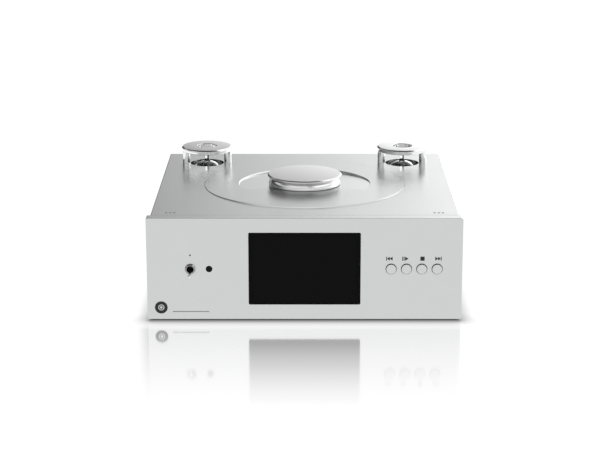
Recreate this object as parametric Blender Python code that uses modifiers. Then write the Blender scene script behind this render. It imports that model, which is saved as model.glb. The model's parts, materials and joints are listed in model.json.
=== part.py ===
"""Top-loading CD player with two valves under open covers.

Metres, +Z up. The disc's axis is the Z axis, the floor is z = 0 and the front panel faces -Y.
"""

import math

import bmesh
import bpy
from mathutils import Matrix, Vector

MM = 0.001
SEAT = 0.1 * MM  # gap between faces that rest on each other
CLEARANCE = 0.3 * MM  # gap round a piece that stands in a hole

# Segments of a full turn
WIDE = 64  # lid, well opening
MIDDLE = 32  # knob, covers, clamp, valve holes
SMALL = 20  # valves, hub, feet, sockets
TINY = 12  # buttons, screws, posts, holes

# Case
PANEL_WIDTH = 206 * MM
PANEL_THICK = 8 * MM
PANEL_FRONT = -95.5 * MM
PANEL_BACK = PANEL_FRONT + PANEL_THICK
BODY_WIDTH = 201.4 * MM
BODY_BACK = 94.5 * MM
FOOT_HEIGHT = 2 * MM
TOP = 70.5 * MM
TOP_THICK = 7 * MM
BASE_THICK = 2 * MM
WALL = 3 * MM
PLATE_BOTTOM = TOP - TOP_THICK
FLOOR_TOP = FOOT_HEIGHT + BASE_THICK

# Lid and knob
LID_RADIUS = 69.85 * MM
LID_GAP = 0.15 * MM
LID_BOTTOM = 65.3 * MM
LID_FRONT_RISE = 0.9 * MM  # how far the lid's front edge stands over the plate
SCOOP_RADIUS = 45.6 * MM
SCOOP_DEPTH = 1.7 * MM
SCOOP_START = -10 * MM  # the Y at which the scoop's floor leaves the top
KNOB_RADIUS = 25.75 * MM
KNOB_TOP = 77.9 * MM
KNOB_BOTTOM = 70.95 * MM  # just clear of the lid, which has risen 0.33 mm at the knob's front
KNOB_LOWER_RADIUS = 25 * MM
KNOB_GROOVE_RADIUS = 23.4 * MM
KNOB_STEM = 8 * MM
STEM_BOTTOM = 66 * MM
CLAMP_SCREW_RADIUS = 2.6 * MM  # of its hole in the stem

# Disc drive
DISC_PLANE = 59.5 * MM  # underside of a seated disc
DISC_THICK = 1.2 * MM
WELL_RADIUS = 61.4 * MM
WELL_FLOOR = 56.5 * MM
WELL_BOTTOM = 55 * MM
OPENING_RADIUS = 63 * MM
HUB_RADIUS = 14 * MM
SHAFT_RADIUS = 1.25 * MM
MOTOR_RADIUS = 11 * MM
MOTOR_TOP = 54 * MM
CHASSIS_TOP = 44 * MM
CHASSIS_THICK = 2 * MM
RAIL_X = 25 * MM
RAIL_Z = 49.6 * MM
RAIL_RADIUS = 1.5 * MM
RAIL_START = -79.5 * MM
RAIL_END = -4.6 * MM
SCREW_X = 17 * MM
SCREW_RADIUS = 1.4 * MM
LENS_START = 23 * MM  # the lens's distance from the disc's axis when the sled is parked
SLED_TRAVEL = 34.5 * MM
LENS_RADIUS = 3 * MM
LENS_TOP = 57.9 * MM
BOSS_X = 58 * MM
BOSS_Y = 42 * MM
BOSS_BOTTOM = 54 * MM

# Valves and their covers
VALVE_X = 71.6 * MM
VALVE_Y = 64.8 * MM
VALVE_HOLE = 12.2 * MM
GLASS_RADIUS = 11 * MM
GLASS_WALL = 0.9 * MM
GLASS_BOTTOM = 28 * MM
DOME_START = 63.5 * MM
DOME_TOP = 72.3 * MM
TIP_TOP = 77.4 * MM
TIP_RADIUS = 1.45 * MM
COVER_RADIUS = 18.35 * MM
COVER_HOLE = 7 * MM
COVER_TOP = 83.3 * MM
COVER_THICK = 3.4 * MM
POST_OFFSET = 15.2 * MM
POST_RADIUS = 2.65 * MM

# Front controls
DISPLAY_WIDTH = 73.2 * MM
DISPLAY_HEIGHT = 48.8 * MM
DISPLAY_Z = 36.4 * MM
BUTTON_RADIUS = 3.35 * MM
BUTTON_GAP = 0.1 * MM
BUTTON_X = 56.5 * MM
BUTTON_PITCH = 10 * MM
BUTTON_PROUD = 0.9 * MM
CONTROL_Z = 36.3 * MM
SWITCH_X = -74.6 * MM
LEVER_LENGTH = 12 * MM
LEVER_TILT = math.radians(13)
IR_X = -62.3 * MM
IR_RADIUS = 2.07 * MM
LED_Z = 45.6 * MM
LED_RADIUS = 0.45 * MM

# Electronics and rear sockets
BOARD_BOTTOM = 15.4 * MM
BOARD_THICK = 1.6 * MM
BOARD_TOP = BOARD_BOTTOM + BOARD_THICK
SOCKET_REACH = 10.9 * MM
XLR_X = (72 * MM, 42 * MM)
XLR_Z = 36 * MM
XLR_RADIUS = 11.3 * MM
RCA_PLACES = {
    "line_socket_left": (14 * MM, 46 * MM),
    "line_socket_right": (14 * MM, 26 * MM),
    "digital_socket": (-12 * MM, 26 * MM),
}
OPTICAL_X = -34 * MM
OPTICAL_SIDE = 9.6 * MM
DC_X = -76 * MM
LOW_SOCKET_Z = 26 * MM

TO_FRONT = (math.pi / 2, 0, 0)  # turns a piece's local +Z to face -Y
TO_REAR = (-math.pi / 2, 0, 0)

FINISHES = {
    "silver_aluminium": ((0.66, 0.67, 0.67), 0.36, 1.0),
    "polished_aluminium": ((0.80, 0.80, 0.80), 0.15, 1.0),
    "steel": ((0.55, 0.56, 0.58), 0.3, 1.0),
    "chrome": ((0.82, 0.82, 0.83), 0.08, 1.0),
    "black_glass": ((0.01, 0.01, 0.01), 0.06, 0.0),
    "clear_glass": ((0.85, 0.88, 0.88), 0.03, 0.0),
    "black_plastic": ((0.03, 0.03, 0.032), 0.45, 0.0),
    "dark_metal": ((0.09, 0.09, 0.1), 0.4, 0.7),
    "rubber": ((0.02, 0.02, 0.02), 0.85, 0.0),
    "circuit_board": ((0.02, 0.16, 0.07), 0.5, 0.0),
    "ceramic": ((0.8, 0.78, 0.72), 0.5, 0.0),
    "gold": ((0.83, 0.62, 0.25), 0.22, 1.0),
    "white_ribbon": ((0.75, 0.75, 0.73), 0.5, 0.0),
}


# ---------------------------------------------------------------- scene and helpers


def empty_scene():
    for obj in list(bpy.data.objects):
        bpy.data.objects.remove(obj)


def collection(name):
    made = bpy.data.collections.new(name)
    bpy.context.scene.collection.children.link(made)
    return made


def finish(name):
    """The Principled material called name, made once."""
    if name in bpy.data.materials:
        return bpy.data.materials[name]
    colour, roughness, metallic = FINISHES[name]
    made = bpy.data.materials.new(name)
    made.use_nodes = True
    shader = made.node_tree.nodes["Principled BSDF"]
    shader.inputs["Base Color"].default_value = (*colour, 1)
    shader.inputs["Roughness"].default_value = roughness
    shader.inputs["Metallic"].default_value = metallic
    if name == "clear_glass":
        shader.inputs["Transmission Weight"].default_value = 1
    made.diffuse_color = (*colour, 1)
    return made


def add_object(name, mesh, material=None):
    """An object in the parts collection, or a hidden one in the cutters' when it has no material."""
    obj = bpy.data.objects.new(name, mesh)
    if material:
        PARTS.objects.link(obj)
        obj.data.materials.append(finish(material))
    else:
        CUTTERS.objects.link(obj)
        obj.hide_render = True
        obj.display_type = "WIRE"
    return obj


def box(name, low, high, material=None, bevel=0.0, segments=1):
    """A box between two corners, with its origin at its centre."""
    low, high = Vector(low), Vector(high)
    shape = bmesh.new()
    bmesh.ops.create_cube(shape, size=1)
    bmesh.ops.scale(shape, vec=high - low, verts=shape.verts)
    mesh = bpy.data.meshes.new(name)
    shape.to_mesh(mesh)
    shape.free()
    obj = add_object(name, mesh, material)
    obj.location = (low + high) / 2
    if bevel:
        modifier = obj.modifiers.new("edges", "BEVEL")
        modifier.width = bevel
        modifier.segments = segments
    return obj


def cylinder(name, radius, start, end, segments=SMALL, material=None):
    """A cylinder from one point to another, with its origin halfway."""
    start, end = Vector(start), Vector(end)
    shape = bmesh.new()
    bmesh.ops.create_cone(
        shape,
        cap_ends=True,
        segments=segments,
        radius1=radius,
        radius2=radius,
        depth=(end - start).length,
    )
    mesh = bpy.data.meshes.new(name)
    shape.to_mesh(mesh)
    shape.free()
    obj = add_object(name, mesh, material)
    obj.location = (start + end) / 2
    obj.rotation_mode = "QUATERNION"
    obj.rotation_quaternion = Vector((0, 0, 1)).rotation_difference(end - start)
    return obj


def turned(name, profile, material, segments=SMALL, closed=False, at=(0, 0, 0), turn=(0, 0, 0)):
    """A turned solid. profile lists (radius, height) and runs down the outer side."""
    mesh = bpy.data.meshes.new(name)
    ends = [(i, i + 1) for i in range(len(profile) - 1)]
    if closed:
        ends.append((len(profile) - 1, 0))
    mesh.from_pydata([(r, 0, z) for r, z in profile], ends, [])
    obj = add_object(name, mesh, material)
    screw = obj.modifiers.new("turn", "SCREW")
    screw.angle = math.tau
    screw.steps = screw.render_steps = segments
    screw.use_merge_vertices = True
    screw.merge_threshold = 0.00001
    obj.location = at
    obj.rotation_euler = turn
    return obj


def cut(obj, *tools, operation="DIFFERENCE"):
    for tool in tools:
        modifier = obj.modifiers.new(tool.name, "BOOLEAN")
        modifier.operation = operation
        modifier.solver = "EXACT"
        modifier.object = tool


def join(obj, *tools):
    cut(obj, *tools, operation="UNION")


def prism(name, outline, half_width):
    """A cutter with an outline of (y, z) points, drawn out along X to both sides."""
    curve = bpy.data.curves.new(name, "CURVE")
    curve.dimensions = "2D"
    curve.fill_mode = "BOTH"
    curve.extrude = half_width
    spline = curve.splines.new("POLY")
    spline.points.add(len(outline) - 1)
    spline.use_cyclic_u = True
    for point, (y, z) in zip(spline.points, outline):
        point.co = (y, z, 0, 1)
    flat = bpy.data.objects.new(name + "_outline", curve)
    CUTTERS.objects.link(flat)
    bpy.context.view_layer.update()
    graph = bpy.context.evaluated_depsgraph_get()
    mesh = bpy.data.meshes.new_from_object(flat.evaluated_get(graph))
    bpy.data.objects.remove(flat)
    shape = bmesh.new()
    shape.from_mesh(mesh)
    bmesh.ops.remove_doubles(shape, verts=shape.verts, dist=0.000001)
    # The outline is drawn in local X and Y: these become the object's Y and Z.
    shape.transform(Matrix(((0, 0, 1, 0), (1, 0, 0, 0), (0, 1, 0, 0), (0, 0, 0, 1))))
    bmesh.ops.recalc_face_normals(shape, faces=shape.faces)
    shape.to_mesh(mesh)
    shape.free()
    return add_object(name, mesh)


def pivot(name, at):
    """An empty on a joint's axis."""
    made = bpy.data.objects.new(name, None)
    made.empty_display_size = 5 * MM
    made.location = at
    PARTS.objects.link(made)
    return made


def hang(obj, parent):
    """Parents obj without moving it."""
    bpy.context.view_layer.update()
    obj.parent = parent
    obj.matrix_parent_inverse = parent.matrix_world.inverted()


# ---------------------------------------------------------------- case


def front_panel():
    panel = box(
        "front_panel",
        (-PANEL_WIDTH / 2, PANEL_FRONT, FOOT_HEIGHT),
        (PANEL_WIDTH / 2, PANEL_BACK, TOP),
        "silver_aluminium",
        bevel=0.6 * MM,
        segments=2,
    )
    beyond = 2 * MM
    ledge = 1.6 * MM
    half_w, half_h = DISPLAY_WIDTH / 2, DISPLAY_HEIGHT / 2
    cut(
        panel,
        box(
            "display_rebate",
            (-half_w, PANEL_FRONT - beyond, DISPLAY_Z - half_h),
            (half_w, PANEL_FRONT + 2.2 * MM, DISPLAY_Z + half_h),
        ),
        box(
            "display_opening",
            (ledge - half_w, PANEL_FRONT - beyond, DISPLAY_Z - half_h + ledge),
            (half_w - ledge, PANEL_BACK + beyond, DISPLAY_Z + half_h - ledge),
        ),
    )
    holes = [(BUTTON_X + i * BUTTON_PITCH, CONTROL_Z, BUTTON_RADIUS + BUTTON_GAP, SMALL) for i in range(4)]
    holes.append((SWITCH_X, CONTROL_Z, 3.2 * MM, SMALL))
    holes.append((IR_X, CONTROL_Z, IR_RADIUS + 0.1 * MM, TINY))
    holes.append((SWITCH_X, LED_Z, LED_RADIUS + 0.1 * MM, TINY))
    for number, (x, z, radius, segments) in enumerate(holes):
        start = (x, PANEL_FRONT - beyond, z)
        end = (x, PANEL_BACK + beyond, z)
        cut(panel, cylinder(f"panel_hole_{number}", radius, start, end, segments))


def top_plate():
    plate = box(
        "top_plate",
        (-BODY_WIDTH / 2, PANEL_BACK + SEAT, PLATE_BOTTOM),
        (BODY_WIDTH / 2, BODY_BACK, TOP),
        "silver_aluminium",
        bevel=0.4 * MM,
    )
    above = TOP + 5 * MM
    ledge = LID_BOTTOM - SEAT
    cut(
        plate,
        cylinder("lid_rebate", LID_RADIUS + LID_GAP, (0, 0, ledge), (0, 0, above), WIDE),
        cylinder("disc_opening", OPENING_RADIUS, (0, 0, PLATE_BOTTOM - 2 * MM), (0, 0, above), WIDE),
    )
    for side in (-1, 1):
        x = side * VALVE_X
        start, end = (x, VALVE_Y, PLATE_BOTTOM - 2 * MM), (x, VALVE_Y, above)
        cut(plate, cylinder(f"valve_hole_{side}", VALVE_HOLE, start, end, MIDDLE))
        for step in (-1, 1):
            x_post = x + step * POST_OFFSET
            start, end = (x_post, VALVE_Y, TOP - 6 * MM), (x_post, VALVE_Y, above)
            cut(plate, cylinder(f"stud_hole_{side}_{step}", 1.8 * MM, start, end, TINY))
        for y in (-BOSS_Y, BOSS_Y):
            start, end = (side * BOSS_X, y, BOSS_BOTTOM), (side * BOSS_X, y, PLATE_BOTTOM + 1 * MM)
            join(plate, cylinder(f"damper_boss_{side}_{y > 0}", 4 * MM, start, end, TINY))


def walls():
    z_low, z_high = FLOOR_TOP + SEAT, PLATE_BOTTOM - SEAT
    outer = BODY_WIDTH / 2
    back_inner = BODY_BACK - WALL
    for side, name in ((-1, "side_panel_left"), (1, "side_panel_right")):
        x_low, x_high = sorted((side * outer, side * (outer - WALL)))
        box(
            name,
            (x_low, PANEL_BACK + SEAT, z_low),
            (x_high, back_inner - SEAT, z_high),
            "silver_aluminium",
            bevel=0.3 * MM,
        )
    rear = box(
        "rear_panel",
        (-outer, back_inner, z_low),
        (outer, BODY_BACK, z_high),
        "silver_aluminium",
        bevel=0.3 * MM,
    )
    inside, outside = back_inner - 2 * MM, BODY_BACK + 2 * MM
    for x in XLR_X:
        hole = cylinder(
            f"xlr_hole_{x:.3f}", XLR_RADIUS + CLEARANCE, (x, inside, XLR_Z), (x, outside, XLR_Z), SMALL
        )
        cut(rear, hole)
    for name, (x, z) in RCA_PLACES.items():
        cut(rear, cylinder(f"{name}_hole", 4.4 * MM, (x, inside, z), (x, outside, z), TINY))
    cut(
        rear,
        cylinder(
            "dc_hole", 4.5 * MM, (DC_X, inside, LOW_SOCKET_Z), (DC_X, outside, LOW_SOCKET_Z), TINY
        ),
    )
    half = OPTICAL_SIDE / 2 + CLEARANCE
    cut(
        rear,
        box(
            "optical_hole",
            (OPTICAL_X - half, inside, LOW_SOCKET_Z - half),
            (OPTICAL_X + half, outside, LOW_SOCKET_Z + half),
        ),
    )


def base_and_feet():
    base = box(
        "base_plate",
        (-BODY_WIDTH / 2, PANEL_BACK + SEAT, FOOT_HEIGHT),
        (BODY_WIDTH / 2, BODY_BACK, FLOOR_TOP),
        "silver_aluminium",
        bevel=0.3 * MM,
    )
    under = FOOT_HEIGHT - 2 * MM
    pin, pin_top = 2 * MM, 5 * MM
    for side in (-1, 1):
        for end, y in (("front", -70 * MM), ("rear", 76 * MM)):
            x = side * 82 * MM
            name = f"foot_{end}_{'left' if side < 0 else 'right'}"
            cut(base, cylinder(name + "_hole", pin + CLEARANCE, (x, y, under), (x, y, pin_top), TINY))
            pad = 10 * MM
            profile = [
                (0, pin_top),
                (pin, pin_top),
                (pin, FOOT_HEIGHT - SEAT),
                (pad, FOOT_HEIGHT - SEAT),
                (pad, 0.5 * MM),
                (pad - 0.5 * MM, 0),
                (0, 0),
            ]
            turned(name, profile, "rubber", SMALL, at=(x, y, 0))
        for y in (-55 * MM, 79 * MM):
            x = side * 87 * MM
            start, end = (x, y, FLOOR_TOP - 1 * MM), (x, y, BOARD_BOTTOM - SEAT)
            join(base, cylinder(f"standoff_{side}_{y > 0}", 3 * MM, start, end, TINY))
        for row in range(4):
            x, y = side * 38 * MM, (row * 12 - 18) * MM
            half_x, half_y = 20 * MM, 1.5 * MM
            vent = box(
                f"vent_{side}_{row}",
                (x - half_x, y - half_y, under),
                (x + half_x, y + half_y, FLOOR_TOP + 2 * MM),
            )
            cut(base, vent)


# ---------------------------------------------------------------- front controls


def display():
    gap = 0.15 * MM
    half_w, half_h = DISPLAY_WIDTH / 2 - gap, DISPLAY_HEIGHT / 2 - gap
    box(
        "display_window",
        (-half_w, PANEL_FRONT + 0.15 * MM, DISPLAY_Z - half_h),
        (half_w, PANEL_FRONT + 2.1 * MM, DISPLAY_Z + half_h),
        "black_glass",
        bevel=0.2 * MM,
    )
    box(
        "display_module",
        (-38 * MM, PANEL_BACK + SEAT, 9.5 * MM),
        (38 * MM, PANEL_BACK + 5 * MM, PLATE_BOTTOM - 0.5 * MM),
        "black_plastic",
        bevel=0.5 * MM,
    )


def buttons():
    """Four push buttons with well rounded rims. Each presses inwards, along +Y."""
    r, rim = BUTTON_RADIUS, 0.9 * MM
    behind = -BUTTON_PROUD - PANEL_THICK - SEAT  # back of the panel, from the button's face
    flange, flange_thick = 4.4 * MM, 1 * MM
    pin, pin_end = 2 * MM, 2.4 * MM
    profile = [
        (0, 0),
        (r - rim, 0),
        (r - 0.3 * rim, -0.3 * rim),
        (r, -rim),
        (r, behind),
        (flange, behind),
        (flange, behind - flange_thick),
        (pin, behind - flange_thick),
        (pin, behind - pin_end),
        (0, behind - pin_end),
    ]
    names = ("button_previous", "button_play_pause", "button_stop", "button_next")
    for i, name in enumerate(names):
        at = (BUTTON_X + i * BUTTON_PITCH, PANEL_FRONT - BUTTON_PROUD, CONTROL_Z)
        turned(name, profile, "silver_aluminium", SMALL, at=at, turn=TO_FRONT)
    face = PANEL_BACK + 3.9 * MM
    box(
        "control_board",
        (48 * MM, face, 27 * MM),
        (95 * MM, face + BOARD_THICK, 46 * MM),
        "circuit_board",
    )


def power_switch():
    """A miniature toggle switch. Its lever points down when off and swings up through twice its tilt."""
    nut, bushing, bore = 3.45 * MM, 2.9 * MM, 2.2 * MM
    nut_front = 1.5 * MM
    body_back = -PANEL_THICK - 10 * MM
    profile = [
        (0, -6.5 * MM),
        (bore, -6.5 * MM),
        (bore, nut_front - 0.5 * MM),
        (bore + 0.3 * MM, nut_front),
        (nut - 0.5 * MM, nut_front),
        (nut, nut_front - 0.5 * MM),
        (nut, SEAT),
        (bushing, SEAT),
        (bushing, -PANEL_THICK - 2 * MM),
        (0, -PANEL_THICK - 2 * MM),
    ]
    at = (SWITCH_X, PANEL_FRONT, CONTROL_Z)
    switch = turned("power_switch", profile, "chrome", SMALL, at=at, turn=TO_FRONT)
    half_x, half_z = 4 * MM, 6.5 * MM
    body = box(
        "switch_body_block",
        (SWITCH_X - half_x, PANEL_BACK + SEAT, CONTROL_Z - half_z),
        (SWITCH_X + half_x, PANEL_FRONT - body_back, CONTROL_Z + half_z),
    )
    join(switch, body)
    start, end = 0.75 * MM, 1.25 * MM
    ball = [(end * math.cos(a), LEVER_LENGTH + end * math.sin(a)) for a in angles(90, 0, 4)]
    knuckle = [
        (1.5 * MM * math.cos(a), 1.5 * MM * math.sin(a)) for a in angles(60, -90, 5)
    ]
    lever = turned("power_switch_lever", ball + [(start, 2.2 * MM)] + knuckle, "chrome", TINY)
    lever.location = (SWITCH_X, PANEL_FRONT + 3 * MM, CONTROL_Z)
    lever.rotation_euler = (math.pi / 2 + LEVER_TILT, 0, 0)


def angles(first, last, count):
    """Evenly spaced angles in radians, from two ends in degrees."""
    return [math.radians(first + (last - first) * i / (count - 1)) for i in range(count)]


def ir_window_and_led():
    depth = 7 * MM
    edge = 0.15 * MM
    for name, x, z, radius, material, segments in (
        ("ir_window", IR_X, CONTROL_Z, IR_RADIUS, "black_glass", TINY),
        ("status_led", SWITCH_X, LED_Z, LED_RADIUS, "black_plastic", TINY),
    ):
        profile = [(0, -edge), (radius - edge, -edge), (radius, -2 * edge), (radius, -depth), (0, -depth)]
        turned(name, profile, material, segments, at=(x, PANEL_FRONT, z), turn=TO_FRONT)


# ---------------------------------------------------------------- lid


def lid_plate():
    """The lift-off lid: flush behind, rising a little towards its front edge, with a finger scoop."""
    height = 10 * MM
    lid = cylinder(
        "lid_plate", LID_RADIUS, (0, 0, LID_BOTTOM), (0, 0, LID_BOTTOM + height), WIDE, "silver_aluminium"
    )
    reach = 90 * MM
    above = TOP + 20 * MM
    outline = [
        (-reach, TOP + LID_FRONT_RISE * reach / LID_RADIUS),
        (0, TOP),
        (reach, TOP),
        (reach, above),
        (-reach, above),
    ]
    scoop = cylinder("scoop", SCOOP_RADIUS, (0, 0, TOP), (0, 0, TOP + height), WIDE)
    slope = SCOOP_DEPTH / (SCOOP_RADIUS - SCOOP_START)
    for vertex in scoop.data.vertices:
        vertex.co.z -= slope * (vertex.co.y - SCOOP_START)
    stem_hole = cylinder(
        "stem_hole", KNOB_STEM + CLEARANCE, (0, 0, LID_BOTTOM - height), (0, 0, above), SMALL
    )
    cut(lid, prism("lid_slope", outline, reach), scoop, stem_hole)
    return lid


def lid_knob():
    """A turned grip with a flange, a V groove and a flared lower ring, on a stem through the lid."""
    flange, lower, edge = KNOB_RADIUS, KNOB_LOWER_RADIUS, 0.45 * MM
    screw_end = 71 * MM
    profile = [
        (0, KNOB_TOP),
        (flange - edge, KNOB_TOP),
        (flange, KNOB_TOP - edge),
        (flange, 76.3 * MM),
        (flange - 0.4 * MM, 76 * MM),
        (KNOB_GROOVE_RADIUS, 75.3 * MM),
        (lower - 0.45 * MM, 73.6 * MM),
        (lower, 72.4 * MM),
        (lower, KNOB_BOTTOM + edge),
        (lower - edge, KNOB_BOTTOM),
        (KNOB_STEM, KNOB_BOTTOM),
        (KNOB_STEM, STEM_BOTTOM),
        (CLAMP_SCREW_RADIUS, STEM_BOTTOM),
        (CLAMP_SCREW_RADIUS, screw_end),
        (0, screw_end),
    ]
    return turned("lid_knob", profile, "polished_aluminium", MIDDLE)


def clamp():
    """The puck that spins with the disc, and the shoulder screw that carries it under the lid."""
    face = DISC_PLANE + DISC_THICK + 0.2 * MM
    top = LID_BOTTOM - CLEARANCE
    roof = 63.3 * MM
    bore = 2.6 * MM
    profile = [
        (bore, top),
        (14 * MM, top),
        (16 * MM, top - 1.5 * MM),
        (16 * MM, face),
        (8 * MM, face),
        (8 * MM, roof),
        (bore, roof),
    ]
    puck = turned("disc_clamp", profile, "dark_metal", MIDDLE, closed=True)
    shank, head = 2.3 * MM, 4.6 * MM
    profile = [
        (0, 70.6 * MM),
        (shank, 70.6 * MM),
        (shank, roof - CLEARANCE),
        (head, roof - CLEARANCE),
        (head, 61.8 * MM),
        (0, 61.8 * MM),
    ]
    screw = turned("clamp_shoulder_screw", profile, "steel", TINY)
    return puck, screw


# ---------------------------------------------------------------- disc drive


def disc_well():
    outer = OPENING_RADIUS - CLEARANCE
    flange_top = PLATE_BOTTOM - SEAT
    flange = 66 * MM
    top = LID_BOTTOM - CLEARANCE
    hub_hole = HUB_RADIUS + 2 * MM
    profile = [
        (WELL_RADIUS, top),
        (outer, top),
        (outer, flange_top),
        (flange, flange_top),
        (flange, flange_top - 1.5 * MM),
        (outer, flange_top - 1.5 * MM),
        (outer, WELL_BOTTOM),
        (hub_hole, WELL_BOTTOM),
        (hub_hole, WELL_FLOOR),
        (WELL_RADIUS, WELL_FLOOR),
    ]
    well = turned("disc_well", profile, "black_plastic", 48, closed=True)
    half = LENS_RADIUS + 2.5 * MM
    far = LENS_START + SLED_TRAVEL + LENS_RADIUS + CLEARANCE
    cut(
        well,
        box(
            "lens_slot",
            (-half, -far, WELL_BOTTOM - 1 * MM),
            (half, -10 * MM, WELL_FLOOR + 1 * MM),
        ),
    )


def spindle():
    platform = DISC_PLANE
    profile = [
        (0, platform + DISC_THICK + 0.6 * MM),
        (6.4 * MM, platform + DISC_THICK + 0.6 * MM),
        (7.4 * MM, platform + 0.5 * MM),
        (7.4 * MM, platform),
        (HUB_RADIUS, platform),
        (HUB_RADIUS, platform - 1.2 * MM),
        (4 * MM, platform - 1.2 * MM),
        (4 * MM, MOTOR_TOP + CLEARANCE),
        (SHAFT_RADIUS, MOTOR_TOP + CLEARANCE),
        (SHAFT_RADIUS, 46 * MM),
        (0, 46 * MM),
    ]
    turned("spindle_hub", profile, "black_plastic", SMALL)
    bore = SHAFT_RADIUS + CLEARANCE
    profile = [
        (0, 45.5 * MM),
        (bore, 45.5 * MM),
        (bore, MOTOR_TOP),
        (MOTOR_RADIUS - 1 * MM, MOTOR_TOP),
        (MOTOR_RADIUS, MOTOR_TOP - 1 * MM),
        (MOTOR_RADIUS, CHASSIS_TOP + SEAT),
        (0, CHASSIS_TOP + SEAT),
    ]
    turned("spindle_motor", profile, "steel", SMALL)


def drive_chassis():
    """The floating plate that carries the spindle motor and the sled's rails, on four dampers."""
    chassis = box(
        "drive_chassis",
        (-63 * MM, RAIL_START, CHASSIS_TOP - CHASSIS_THICK),
        (63 * MM, 50 * MM, CHASSIS_TOP),
        "dark_metal",
        bevel=0.3 * MM,
    )
    window = box(
        "sled_window",
        (-20 * MM, -73 * MM, CHASSIS_TOP - 4 * MM),
        (12 * MM, -14 * MM, CHASSIS_TOP + 4 * MM),
    )
    cut(chassis, window)
    lug_z = (CHASSIS_TOP - 1 * MM, RAIL_Z + 3.4 * MM)
    front, rear = (RAIL_START + 0.4 * MM, -75.6 * MM), (-8 * MM, RAIL_END - 0.4 * MM)
    half = 3.4 * MM
    for name, x_low, x_high, (y_low, y_high) in (
        ("lug_front_left", -RAIL_X - half, -RAIL_X + half, front),
        ("lug_front_right", SCREW_X - half, RAIL_X + half, front),
        ("lug_rear_left", -RAIL_X - half, -RAIL_X + half, rear),
        ("lug_rear_right", RAIL_X - half, RAIL_X + half, rear),
    ):
        join(chassis, box(name, (x_low, y_low, lug_z[0]), (x_high, y_high, lug_z[1])))
    for x, radius in ((-RAIL_X, RAIL_RADIUS), (RAIL_X, RAIL_RADIUS), (SCREW_X, SCREW_RADIUS)):
        far = -70 * MM if x == SCREW_X else 0
        start, end = (x, RAIL_START - 2 * MM, RAIL_Z), (x, far, RAIL_Z)
        cut(chassis, cylinder(f"rail_hole_{x:.3f}", radius + CLEARANCE, start, end, TINY))
    for side, name in ((-1, "guide_rod_left"), (1, "guide_rod_right")):
        x = side * RAIL_X
        cylinder(name, RAIL_RADIUS, (x, RAIL_START, RAIL_Z), (x, RAIL_END, RAIL_Z), TINY, "steel")
    for side in (-1, 1):
        for end, y in (("front", -BOSS_Y), ("rear", BOSS_Y)):
            low, high = CHASSIS_TOP + SEAT, BOSS_BOTTOM - SEAT
            middle = (low + high) / 2
            profile = [
                (0, high),
                (4 * MM, high),
                (4 * MM, middle + 1.2 * MM),
                (2.8 * MM, middle),
                (4 * MM, middle - 1.2 * MM),
                (4 * MM, low),
                (0, low),
            ]
            name = f"damper_{end}_{'left' if side < 0 else 'right'}"
            turned(name, profile, "rubber", TINY, at=(side * BOSS_X, y, 0))


def laser_sled():
    y_front, y_back = -36 * MM, -14 * MM
    half_width, bottom, top = 29 * MM, 45.2 * MM, 53 * MM
    sled = box(
        "laser_sled",
        (-half_width, y_front, bottom),
        (half_width, y_back, top),
        "black_plastic",
        bevel=0.4 * MM,
    )
    centre = (0, -LENS_START)
    join(sled, cylinder("lens_turret", 6 * MM, (*centre, top - 1 * MM), (*centre, 54.7 * MM), SMALL))
    bore = LENS_RADIUS + 0.4 * MM
    cut(sled, cylinder("lens_bore", bore, (*centre, 49 * MM), (*centre, 60 * MM), SMALL))
    for x, radius in ((-RAIL_X, RAIL_RADIUS), (RAIL_X, RAIL_RADIUS), (SCREW_X, SCREW_RADIUS)):
        start, end = (x, y_front - 2 * MM, RAIL_Z), (x, y_back + 2 * MM, RAIL_Z)
        cut(sled, cylinder(f"sled_hole_{x:.3f}", radius + CLEARANCE, start, end, TINY))
    profile = [
        (0, LENS_TOP),
        (1.7 * MM, LENS_TOP - 0.4 * MM),
        (1.9 * MM, LENS_TOP - 0.7 * MM),
        (LENS_RADIUS, LENS_TOP - 0.7 * MM),
        (LENS_RADIUS, 51 * MM),
        (0, 51 * MM),
    ]
    turned("laser_lens", profile, "black_glass", SMALL, at=(*centre, 0))


def sled_drive():
    """The lead screw that moves the sled, and its motor. Both lie along Y."""
    motor_front = 8 * MM
    cylinder(
        "sled_lead_screw",
        SCREW_RADIUS,
        (SCREW_X, RAIL_START + 1 * MM, RAIL_Z),
        (SCREW_X, motor_front + 4 * MM, RAIL_Z),
        TINY,
        "steel",
    )
    bore = SCREW_RADIUS + CLEARANCE
    radius, length = 5.2 * MM, 18 * MM
    profile = [
        (0, -4.5 * MM),
        (bore, -4.5 * MM),
        (bore, 0),
        (radius, 0),
        (radius, -length),
        (0, -length),
    ]
    turned("sled_motor", profile, "steel", TINY, at=(SCREW_X, motor_front, RAIL_Z), turn=TO_FRONT)


# ---------------------------------------------------------------- valves


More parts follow.
